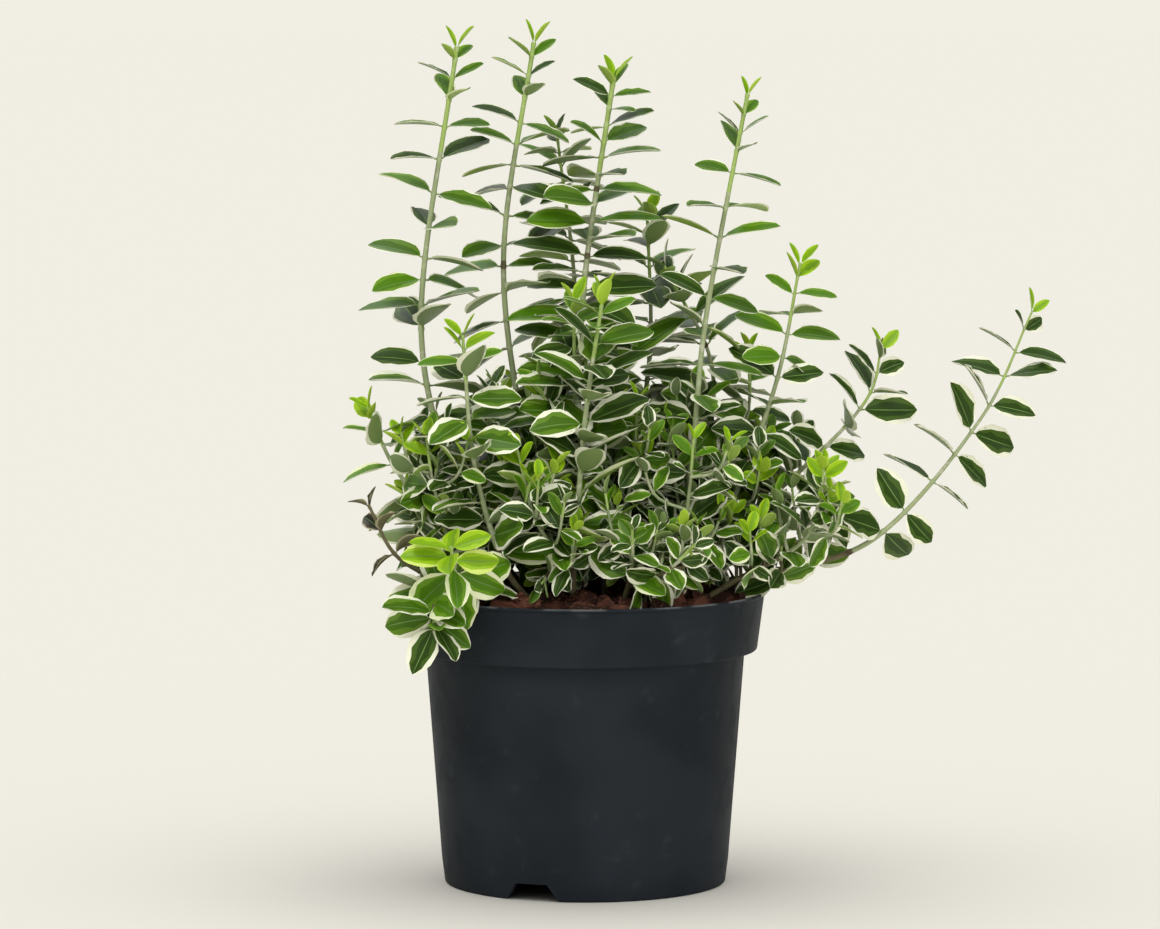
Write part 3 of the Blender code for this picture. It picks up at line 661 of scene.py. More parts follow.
# The front and sides, left to right: places are (right, back, up) from the middle of the pot's underside.
CLUMP = [
    Stem("stem_left", Region.LEFT, (-26, 4), (-44, 7, 170), (
        Shoot("tall_left", ((-72, 10, 220), (-86, 10, 300), (-67, 10, 438)), 15, 31, -12, 0, Tip.PALE,
              girth=1.2, flat=0.45),
        Shoot("left_inner", ((-52, 2, 222), (-48, -2, 262)), 6, 24, 50, 1),
    )),
    Stem("stem_left_back", Region.LEFT, (-10, 12), (-19, 22, 176), (
        Shoot("tall_left_back", ((-34, 33, 240), (-43, 35, 330), (-27, 35, 440)), 16, 31, -8, 0, Tip.PALE,
              girth=1.2, flat=0.5),
        Shoot("left_back_low", ((-64, 48, 208), (-80, 52, 244)), 6, 24, 20, 1),
    )),
    Stem("stem_middle", Region.MIDDLE, (-7, -4), (-7, 6, 178), (
        Shoot("tall_middle", ((-4, 16, 240), (0, 20, 318), (15, 20, 422)), 24, 35, -8, 1, Tip.PALE,
              girth=1.3, flat=0.45, lit=0.2),
        Shoot("middle_back", ((-5, 52, 300), (-15, 56, 392)), 17, 32, 35, 0, flat=0.15, lit=0.15),
    )),
    Stem("stem_front", Region.FRONT, (-6, -34), (-6, -46, 168), (
        Shoot("front_upright", ((0, -55, 248), (9, -55, 311)), 13, 32, 8, 1, Tip.LIME,
              reach=0, girth=1.0, wider=-14),
        Shoot("centre_left_low", ((-25, -56, 195), (-35, -52, 232)), 5, 23, 60, 1, Tip.LIME),
    )),
    Stem("stem_centre", Region.MIDDLE, (10, -16), (9, -21, 170), (
        Shoot("front_inner", ((-4, -29, 245), (-6, -32, 307)), 12, 31, 30, 0, Tip.PALE, wider=-8),
        Shoot("centre_right_low", ((23, -32, 210), (27, -36, 257)), 6, 24, 10, 1, Tip.LIME),
    )),
    Stem("stem_back_middle", Region.MIDDLE, (8, 22), (18, 33, 176), (
        Shoot("back_middle", ((34, 46, 270), (33, 45, 350)), 14, 33, 20, 1, Tip.PALE, flat=0.15, lit=0.15),
    )),
    Stem("stem_right_back", Region.RIGHT, (34, 18), (52, 25, 176), (
        Shoot("right_arch", ((68, 34, 262), (42, 30, 322)), 12, 34, 15, 0),
        Shoot("right_inner", ((84, 24, 238), (86, 20, 279)), 6, 24, 40, 1, Tip.LIME),
    )),
    Stem("stem_right", Region.RIGHT, (33, -12), (47, -17, 170), (
        Shoot("tall_right", ((56, -20, 230), (63, -20, 300), (84, -20, 414)), 13, 28, -6, 1, Tip.PALE,
              girth=1.1, flat=0.4),
        Shoot("front_right_small", ((52, -44, 195), (56, -52, 238)), 5, 23, 45, 1, Tip.PALE),
    )),
    Stem("stem_right_middle", Region.RIGHT, (44, 2), (66, -4, 176), (
        Shoot("right_middle", ((98, -10, 258), (112, -10, 326)), 10, 26, -8, 1, Tip.LIME, flat=0.5, lit=0.25),
        Shoot("right_lean", ((120, 2, 223), (148, 0, 255), (155, 0, 281)), 10, 27, 20, 1, Tip.DARK,
              girth=0.55, flat=0.45, lit=0.45),
    )),
    Stem("stem_far_right", Region.RIGHT, (56, -6), (86, -8, 161), (
        Shoot("far_right", ((150, -10, 181), (206, -10, 244), (233, -10, 301)), 10, 26, 5, 1, Tip.DARK,
              reach=100, girth=0.5, flat=0.6, lit=0.6),
    )),
    Stem("stem_right_low", Region.RIGHT, (54, -28), (76, -32, 161), (
        Shoot("right_low", ((114, -32, 184), (124, -30, 221)), 6, 25, 10, 1, Tip.LIME),
    )),
    Stem("stem_front_left", Region.FRONT, (-22, -38), (-41, -47, 170), (
        Shoot("left_front", ((-57, -50, 224), (-63, -50, 291)), 10, 29, -8, 1, Tip.LIME,
              reach=0, girth=0.8, flat=0.5),
    )),
    Stem("stem_left_low", Region.LEFT, (-33, -14), (-54, -19, 169), (
        Shoot("left_low", ((-96, -25, 216), (-113, -25, 252)), 8, 27, 15, 1, Tip.LIME, reach=90),
        Shoot("left_lime", ((-76, -42, 205), (-82, -42, 238)), 5, 24, 60, 1, Tip.LIME),
    )),
    Stem("stem_rim_left", Region.LEFT, (-48, -38), (-66, -54, 160), (
        Shoot("left_wisp", ((-96, -68, 178), (-111, -68, 205)), 3, 17, 25, 0, Tip.DRY,
              reach=0, girth=0.8, ahead=12, hangs=True),
        Shoot("rim_cascade", ((-76, -77, 160), (-77, -86, 144)), 12, 28, 20, 0, Tip.PLAIN,
              reach=0, ahead=18, flat=0.5, lit=0.5, hangs=True),
    )),
    Stem("stem_rim_front", Region.FRONT, (-40, -50), (-56, -72, 161), (
        Shoot("rim_lime", ((-66, -88, 172), (-68, -94, 186)), 7, 30, 0, 0, Tip.WHOLE,
              reach=84, girth=0.8, wider=38, ahead=12, hangs=True),
    )),
    Stem("stem_front_low", Region.FRONT, (18, -50), (22, -62, 162), (
        Shoot("front_low", ((24, -76, 176), (24, -84, 194)), 5, 23, 45, 0),
        Shoot("front_low_right", ((42, -74, 172), (56, -80, 186)), 5, 22, 0, 0),
    )),
]


@dataclass(frozen=True)
class RearFan:
    """Stems fanned round the back, each with a shoot, their reach and height drawn from a seeded rule."""

    count: int = 5
    first_angle: float = 16
    last_angle: float = 168
    foot_circle: float = 39
    fork_circle: float = 55
    reach: tuple[float, float] = (96, 70)
    heights: tuple[float, float] = (206, 250)
    fork_rise: float = 0.28
    bend_rise: float = 0.64
    bend_reach: float = 0.88
    jitter: float = 5
    most_turn: float = 90
    pairs: int = 7
    leaf: float = 28
    seed: int = 5

    def stems(self, soil_height: float) -> list[Stem]:
        """Works out the stems.

        Args:
            soil_height: Where they leave the soil.

        Returns:
            The stems, from the right to the left.
        """
        draw = random.Random(self.seed)
        step = (self.last_angle - self.first_angle) / (self.count - 1)
        made = []
        for i in range(self.count):
            angle = math.radians(self.first_angle + step * i)
            out = Vector((math.cos(angle), math.sin(angle), 0))
            reach = self.reach[i % 2] + draw.uniform(-self.jitter, self.jitter)
            height = self.heights[i % 2] + draw.uniform(-self.jitter, self.jitter)
            bend_circle = reach * self.bend_reach
            rings = ((self.fork_circle, self.fork_rise), (bend_circle, self.bend_rise), (reach, 1))
            fork, bend, tip = (
                tuple(out * circle + Vector((0, 0, soil_height + (height - soil_height) * rise)))
                for circle, rise in rings
            )
            turn = draw.uniform(0, self.most_turn)
            tones = (Tip.LIME, Tip.PALE)[i % 2]
            shoot = Shoot(f"rear_{i + 1}", (bend, tip), self.pairs, self.leaf, turn, 1, tones)
            foot = tuple((out * self.foot_circle).xy)
            made.append(Stem(f"stem_rear_{i + 1}", Region.REAR, foot, fork, (shoot,)))
        return made


class Line:
    """A run of straight pieces through points, read by the distance along it."""

    def __init__(self, points: Sequence[Vector], directions: Sequence[Vector] | None = None) -> None:
        """Measures the line.

        Args:
            points: Its points.
            directions: The direction at each, worked out from the points if none is given.
        """
        self.points = points
        befores, afters = [points[0], *points], [*points[1:], points[-1]]
        self.directions = directions or [(b - a).normalized() for a, b in zip(befores, afters)]
        self.lengths = [0.0]
        for before, after in zip(points, points[1:]):
            self.lengths.append(self.lengths[-1] + (after - before).length)
        self.length = self.lengths[-1]

    def at(self, distance: float) -> tuple[Vector, Vector]:
        """Reads the line at a distance along it.

        Args:
            distance: The distance from its start.

        Returns:
            The place there, and the direction.
        """
        distance = min(max(distance, 0), self.length)
        i = int(np.searchsorted(self.lengths, distance - 1e-9, side="left"))
        i = min(max(i, 1), len(self.lengths) - 1)
        share = (distance - self.lengths[i - 1]) / (self.lengths[i] - self.lengths[i - 1])
        place = self.points[i - 1].lerp(self.points[i], share)
        return place, self.directions[i - 1].lerp(self.directions[i], share).normalized()

    def part(self, start: float, end: float, step: float) -> "Line":
        """Gives the line from one distance to another.

        Args:
            start: The distance where it starts.
            end: The distance where it ends.
            step: About how long its straight pieces are.

        Returns:
            The part in even steps.
        """
        steps = max(2, round((end - start) / step))
        return Line(*zip(*(self.at(start + (end - start) * i / steps) for i in range(steps + 1))))


def curve(points: Iterable[Sequence[float]], steps: int = CURVE_STEPS) -> Line:
    """Draws a smooth line through points, as a Catmull-Rom spline.

    Args:
        points: The points.
        steps: How many short pieces lie between two of them.

    Returns:
        The line.
    """
    points = [Vector(point) for point in points]
    ends = [2 * points[0] - points[1], *points, 2 * points[-1] - points[-2]]
    fine = [points[0]]
    for a, b, c, d in zip(ends, ends[1:], ends[2:], ends[3:]):
        square, cube = 2 * a - 5 * b + 4 * c - d, 3 * b - a - 3 * c + d
        for step in range(1, steps + 1):
            t = step / steps
            fine.append(0.5 * (2 * b + (c - a) * t + square * t**2 + cube * t**3))
    return Line(fine)


def side_of(direction: Vector, turn: float) -> Vector:
    """Finds a side of a stem.

    Args:
        direction: The stem's direction.
        turn: The angle about it from the plant's right.

    Returns:
        A unit vector square to the direction.
    """
    right = Vector((1, 0, 0))
    right = (right - direction * right.dot(direction)).normalized()
    return Matrix.Rotation(turn, 3, direction) @ right


class Space:
    """The shapes placed so far, to test whether a new one would touch them."""

    first_room = 64

    def __init__(self) -> None:
        """Starts empty."""
        self.count = 0
        self.lows = np.empty((self.first_room, 3))
        self.highs = np.empty((self.first_room, 3))
        self.kept: list[BVHTree] = []

    def add(self, points: Sequence[Vector], faces: Sequence[Sequence[int]]) -> None:
        """Keeps a shape.

        Args:
            points: Its points.
            faces: Its faces.
        """
        if self.count == len(self.lows):
            self.lows = np.concatenate((self.lows, np.empty_like(self.lows)))
            self.highs = np.concatenate((self.highs, np.empty_like(self.highs)))
        places = np.array(points)
        self.lows[self.count], self.highs[self.count] = places.min(axis=0), places.max(axis=0)
        self.kept.append(BVHTree.FromPolygons(points, faces))
        self.count += 1

    def touches(self, points: Sequence[Vector], faces: Sequence[Sequence[int]]) -> bool:
        """Tells whether a shape would cut any of them.

        Args:
            points: The shape's points.
            faces: Its faces.

        Returns:
            True if it would.
        """
        places = np.array(points)
        lows, highs = self.lows[: self.count], self.highs[: self.count]
        near = (lows <= places.max(axis=0)) & (highs >= places.min(axis=0))
        others = [self.kept[i] for i in np.flatnonzero(near.all(axis=1))]
        if not others:
            return False
        shape = BVHTree.FromPolygons(points, faces)
        return any(shape.overlap(tree) for tree in others)


def tube_shape(
    line: Line, first: float, last: float, sides: int = 4
) -> tuple[list[Vector], list[tuple[int, ...]]]:
    """Gives a plain tube round a line for the tests.

    Args:
        line: The line.
        first: The radius at its start.
        last: The radius at its end.
        sides: How many sides it has.

    Returns:
        Its points and faces.
    """
    points, faces = [], []
    for i, distance in enumerate(line.lengths):
        centre, direction = line.at(distance)
        radius = first + (last - first) * distance / line.length
        points += [centre + side_of(direction, math.tau * k / sides) * radius for k in range(sides)]
        if i:
            low = (i - 1) * sides
            for k in range(sides):
                after = (k + 1) % sides
                faces.append((low + k, low + after, low + sides + after, low + sides + k))
    return points, faces


@dataclass(frozen=True)
class LeafRule:
    """How leaves stand on a stem, from its tip down: degrees, millimetres, and the rest as shares."""

    spreads: tuple[float, ...] = (32, 52, 64, 74, 80, 82, 84)  # between a leaf and its stem
    young_size: float = 0.42  # of a leaf at the tip, as a share of a grown one
    grown_at: tuple[float, float] = (64, 28)  # how far from the tip of a stout and a slender shoot
    slender_girth: float = 1.0
    spacings: tuple[float, ...] = (0.5, 0.6, 0.75, 0.9, 1.0)
    spread_jitter: float = 25
    tidy_pairs: int = 3  # over these pairs at the tip the spread's jitter rises to its full
    turn_jitter: float = 16
    size_jitter: tuple[float, float] = (0.9, 1.22)
    spacing_jitter: tuple[float, float] = (0.75, 1.25)
    pair_offset: float = 0.6
    tip_setback: float = 1.2
    rolls: tuple[float, float] = (20, 68)  # the most that a leaf rolls about its rib, high up and at the soil
    roll_height: float = 290
    light_from: float = 70  # how far back the plant's shade starts, from where leaves turn to the light
    light_reach: float = 60
    light_side: float = 140
    light_pulls: tuple[float, float] = (0.24, 0.55)  # high up and at the soil
    hang: float = -0.15  # a leaf that looks further down than this hangs, and turns its face up
    rim: float = 95  # beyond this only a shoot over the rim has leaves that end lower than the next line says
    low_outside: float = 161
    settings: tuple[tuple[float, float], ...] = (
        (0, 1.0), (16, 1.0), (-16, 1.0), (30, 0.95), (-30, 0.95), (0, 0.8), (24, 0.8), (-24, 0.8), (0, 0.62),
    )  # the turns and sizes that a leaf tries until it is clear
    proxy_start: float = 0.2
    proxy_widest: float = 0.55
    proxy_width: float = 0.5
    proxy_fold: float = 0.1
    proxy_droop: float = 0.08
    proxy_thickness: float = 0.4

    def shape(self, length: float, place: Matrix) -> tuple[list[Vector], list[tuple[int, ...]]]:
        """Gives a plain leaf for the tests: a folded lozenge with a little thickness.

        Args:
            length: The leaf's length.
            place: Where it stands.

        Returns:
            Its points and faces.
        """
        half, widest = self.proxy_width * length / 2, self.proxy_widest * length
        flat = [
            Vector((self.proxy_start * length, 0, 0)),
            Vector((widest, -half, self.proxy_fold * length)),
            Vector((length, 0, -self.proxy_droop * length)),
            Vector((widest, half, self.proxy_fold * length)),
            Vector((widest, 0, self.proxy_thickness)),
            Vector((widest, 0, -self.proxy_thickness)),
        ]
        faces = [(i, (i + 1) % 4, 4) for i in range(4)] + [((i + 1) % 4, i, 5) for i in range(4)]
        return [place @ point for point in flat], faces


@dataclass(frozen=True)
class TwigRule:
    """How side twigs leave a shoot: the main ones as in the solids, then finer ones low in the crown."""

    lengths: tuple[float, float] = (30, 46)
    fine_lengths: tuple[float, float] = (20, 40)
    first: float = 0.12
    step: float = 0.2
    last: float = 0.8  # the share of a shoot beyond which it has no fine twigs
    bend: float = 0.45
    lean: float = 0.35
    rise: float = 0.9
    lowest_side: float = -0.3  # a twig that would leave its shoot further down than this is left out
    tries: int = 6
    curve_steps: int = 8
    pairs: int = 4
    leaf: float = 0.8
    radius: float = 1.0
    fine_height: float = 262  # the top of where they start, over the middle of the pot
    fine_fall: float = 0.4  # how far that falls for each millimetre away from it
    fine_spacing: float = 8  # between two of them along a shoot
    fine_start: tuple[float, float] = (0.3, 0.8)  # in spacings
    spacing_jitter: tuple[float, float] = (0.8, 1.2)
    grown: float = 6  # how far a twig's leaves are ahead of a shoot's
    skirt_height: float = 186  # below which a shoot also has twigs that hang
    skirt_start: tuple[float, float] = (0, 0.5)
    skirt_lengths: tuple[float, float] = (20, 34)
    skirt_fall: float = 0.45
    skirt_reach: float = 74  # how far from the middle of the pot their ends may be, and how low
    skirt_low: float = 161


@dataclass
class Leaf:
    """One leaf as it is set: its place, its length and its looks."""

    place: Matrix
    length: float
    kind: Kind
    tone: Tone


@dataclass
class Axis:
    """A stem with leaves: its line, radii, pairs, largest leaf, first angle, and the tones at its tip."""

    line: Line
    radii: tuple[float, float]
    pairs: int
    leaf: float
    turn: float
    tip: Tip
    grown: float = 0
    nodes: list[float] = field(default_factory=list)


@dataclass
class Growth:
    """One shoot as it grows: its stem, its side twigs, and later its leaves, all drawn from its own seed.

    space holds the shapes placed so far, which it stays clear of.
    """

    shoot: Shoot
    region: Region
    line: InitVar[Line]
    space: Space
    step: float = 4.0
    clearance: float = 0.3
    stem_radii: tuple[float, float] = (1.75, 1.35)  # of a long shoot and of a short one
    long_pairs: int = 8
    twig_tip: float = 0.6
    pair_share: float = 1.3
    young_pairs: int = 2
    slim_height: float = 300.0
    broad_height: float = 250.0
    high_tones: tuple[float, float, float] = (0.35, 0.45, 0.2)  # the shares of deep, mid and fresh leaves
    low_tones: tuple[float, float, float] = (0.42, 0.42, 0.16)
    axes: list[Axis] = field(default_factory=list)
    leaves: list[Leaf] = field(default_factory=list)

    def __post_init__(self, line: Line) -> None:
        """Starts with the shoot's own stem.

        Args:
            line: The stem's line.
        """
        shoot = self.shoot
        self.draw = random.Random(shoot.name)
        pairs = round(shoot.pairs * self.pair_share)
        radii = (self.stem_radii[0 if shoot.pairs >= self.long_pairs else 1], shoot.girth)
        turn = math.radians(shoot.turn)
        self.axes.append(Axis(line, radii, pairs, shoot.leaf, turn, shoot.tip, shoot.ahead))
        self.space.add(*tube_shape(line, *radii))

    def grow_twigs(self, rule: TwigRule) -> None:
        """Grows the main side twigs from the lower half of the stem, then finer ones low in the crown.

        Args:
            rule: How twigs grow.
        """
        if self.shoot.tip is Tip.DRY:
            return
        stem = self.axes[0].line
        end = stem.length * rule.last
        for i in range(self.shoot.twigs):
            self.try_twig(stem, stem.length * (rule.first + rule.step * i), rule.lengths, rule)
        distance = self.draw.uniform(*rule.skirt_start) * rule.fine_spacing
        while self.shoot.reach and stem.at(distance)[0].z < rule.skirt_height and distance < end:
            self.try_twig(stem, distance, rule.skirt_lengths, rule, True)
            distance += rule.fine_spacing * self.draw.uniform(*rule.spacing_jitter)
        distance = self.draw.uniform(*rule.fine_start) * rule.fine_spacing
        while distance < end:
            base = stem.at(distance)[0]
            out = base.xy.length
            if base.z > rule.fine_height - rule.fine_fall * out or out > self.shoot.reach:
                break
            self.try_twig(stem, distance, rule.fine_lengths, rule)
            distance += rule.fine_spacing * self.draw.uniform(*rule.spacing_jitter)

    def try_twig(
        self, stem: Line, distance: float, lengths: tuple[float, float], rule: TwigRule, hanging: bool = False
    ) -> None:
        """Grows one side twig in the first direction where it stays clear.

        Args:
            stem: The stem it leaves.
            distance: Where on the stem.
            lengths: The least and the most that it measures.
            rule: How twigs grow.
            hanging: Whether its end hangs instead of rising.
        """
        base, direction = stem.at(distance)
        length = self.draw.uniform(*lengths)
        first_turn = math.radians(self.shoot.turn) + math.tau * self.draw.random()
        bright = Tip.LIME if self.shoot.tip is Tip.LIME else Tip.PLAIN
        tip = self.draw.choice((Tip.PLAIN, Tip.PLAIN, Tip.PALE, bright))
        for turn in (first_turn + math.tau * k / rule.tries for k in range(rule.tries)):
            side = side_of(direction, turn)
            if side.z < rule.lowest_side and not hanging:
                continue
            bend = base + (side + direction * rule.lean) * length * rule.bend
            rise = side * rule.lean + Vector((0, 0, rule.rise))
            if hanging:
                rise = Vector((side.x, side.y, -rule.skirt_fall))
            end = bend + rise.normalized() * length * (1 - rule.bend)
            if hanging and (end.z < rule.skirt_low or end.xy.length > rule.skirt_reach):
                continue
            twig = curve([base, bend, end], rule.curve_steps)
            clear = twig.part(2 * self.stem_radii[0], twig.length, self.step)
            guard_radius = rule.radius + self.clearance
            if not self.space.touches(*tube_shape(clear, guard_radius, guard_radius)):
                twig = twig.part(0, twig.length, self.step)
                radii, leaf = (rule.radius, self.twig_tip), self.shoot.leaf * rule.leaf
                self.axes.append(Axis(twig, radii, rule.pairs, leaf, turn, tip, rule.grown))
                self.space.add(*tube_shape(twig, *radii))
                return

    def grow_leaves(self, rule: LeafRule) -> None:
        """Sets pairs of opposite leaves along every axis, each pair square to the last.

        Args:
            rule: How leaves stand.
        """
        grown_at = rule.grown_at[1 if self.shoot.girth <= rule.slender_girth else 0]
        for axis in self.axes:
            line, draw = axis.line, self.draw
            spacings = [
                rule.spacings[min(k, len(rule.spacings) - 1)] * draw.uniform(*rule.spacing_jitter)
                for k in range(axis.pairs)
            ]
            distance = run = line.length - rule.tip_setback
            square = math.pi / 2 * (1 - (self.shoot.flat if axis is self.axes[0] else 0))
            for k in range(axis.pairs):
                azimuth = axis.turn + square * (0, 1, 0, -1)[k % 4]
                azimuth += math.radians(draw.uniform(-1, 1) * rule.turn_jitter)
                spread = rule.spreads[min(k, len(rule.spreads) - 1)] + self.shoot.wider
                grown = (line.length - distance + axis.grown) / grown_at
                length = axis.leaf * min(1, rule.young_size + (1 - rule.young_size) * grown)
                axis.nodes.append(distance)
                ease = min(1, (k + 1) / rule.tidy_pairs)
                for half in range(2):
                    angle = math.radians(spread + draw.uniform(-1, 1) * rule.spread_jitter * ease)
                    foot = distance + draw.uniform(-1, 1) * rule.pair_offset
                    size = length * draw.uniform(*rule.size_jitter)
                    self.set_leaf(axis, k, (foot, azimuth + math.pi * half, angle, size), rule)
                distance -= run * spacings[k] / sum(spacings)

    def looks(self, height: float, k: int, tip: Tip) -> tuple[Kind, Tone]:
        """Draws a leaf's kind and tone.

        Args:
            height: How high it stands.
            k: Which pair it is in, from the tip.
            tip: The tones at the tip of its stem.

        Returns:
            The kind and the tone.
        """
        share = (height - self.broad_height) / (self.slim_height - self.broad_height)
        high = self.draw.random() < share
        tones = self.high_tones if high else self.low_tones
        tone = self.draw.choices((Tone.DEEP, Tone.MID, Tone.FRESH), tones)[0]
        if k < len(tip.value) and tip is not Tip.PLAIN:
            tone = tip.value[k]
        if tone is Tone.DRY:
            return Kind.SHRIVELLED, tone
        if k < self.young_pairs and tone is not Tone.DEEP:
            return Kind.YOUNG, tone
        return (Kind.SLIM if high else Kind.BROAD), tone

    def set_leaf(self, axis: Axis, k: int, stand: tuple[float, float, float, float], rule: LeafRule) -> None:
        """Sets one leaf in the first way that is clear of everything.

        Args:
            axis: The stem it stands on.
            k: Which pair it is in, from the tip.
            stand: Its distance along the stem, azimuth, angle to the stem, and length.
            rule: How leaves stand.
        """
        distance, azimuth, angle, length = stand
        base, direction = axis.line.at(distance)
        low = min(1, max(0, (rule.roll_height - base.z) / (rule.roll_height - SOIL_HEIGHT)))
        most_roll = rule.rolls[0] + (rule.rolls[1] - rule.rolls[0]) * low
        roll = math.radians(self.draw.uniform(-1, 1) * most_roll)
        kind, tone = self.looks(base.z, k, axis.tip)
        outward = (base.y - rule.light_from) / rule.light_reach
        light = Vector((base.x / rule.light_side, max(-1, min(1, outward)), 0))
        light *= rule.light_pulls[0] + (rule.light_pulls[1] - rule.light_pulls[0]) * low + self.shoot.lit
        for turn, share in rule.settings:
            side = side_of(direction, azimuth + math.radians(turn))
            along = direction * math.cos(angle) + side * math.sin(angle)
            face = direction * math.sin(angle) - side * math.cos(angle)
            face = (-face if face.z < rule.hang else face) + light
            face = Matrix.Rotation(roll, 3, along) @ (face - along * face.dot(along)).normalized()
            place = Matrix((along, face.cross(along), face)).transposed().to_4x4()
            place.translation = base
            end = base + along * length * share
            if end.z < rule.low_outside and end.xy.length > rule.rim and not self.shoot.hangs:
                continue
            shape = rule.shape(length * share, place)
            if k == 0 or not self.space.touches(*shape):
                self.space.add(*shape)
                self.leaves.append(Leaf(place, length * share, kind, tone))
                return


@dataclass
class Plant:
    """The whole plant above the soil, which grows in millimetres and stays clear of the pot and the soil."""

    gap: float = 0.3
    overlap: float = 1.0  # how far a bare stem runs on into its first shoot
    foot_step: float = 3.0
    foot_radii: tuple[float, float] = (2.4, 1.9)  # with room round the bare stem
    bare: list[tuple[Stem, Line]] = field(default_factory=list)
    growths: list[Growth] = field(default_factory=list)

    def __post_init__(self) -> None:
        """Lists the stems and puts the pot and the soil in the plant's space."""
        self.stems = CLUMP + RearFan().stems(SOIL_HEIGHT)
        self.space = Space()
        for name in ("pot", "soil"):
            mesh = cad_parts[name].data
            points = [vert.co / MM for vert in mesh.vertices]
            self.space.add(points, [tuple(face.vertices) for face in mesh.polygons])

    def grow(self) -> int:
        """Grows every stem, shoot, twig and leaf.

        Returns:
            How many leaves there are.
        """
        lines = []
        for stem in self.stems:
            line = curve([(*stem.foot, SOIL_HEIGHT + self.gap), stem.fork, *stem.shoots[0].route])
            fork = line.lengths[CURVE_STEPS]
            foot = line.part(0, fork + self.overlap, self.foot_step)
            self.bare.append((stem, foot))
            self.space.add(*tube_shape(foot, *self.foot_radii))
            lines.append((stem, stem.shoots[0], line.part(fork, line.length, Growth.step)))
        for stem in self.stems:
            for shoot in stem.shoots[1:]:
                line = curve([stem.fork, *shoot.route])
                lines.append((stem, shoot, line.part(0, line.length, Growth.step)))
        self.growths = [Growth(shoot, stem.region, line, self.space) for stem, shoot, line in lines]
        for growth in self.growths:
            growth.grow_twigs(TwigRule())
        for growth in self.growths:
            growth.grow_leaves(LeafRule())
        return sum(len(growth.leaves) for growth in self.growths)


# Leaves as meshes


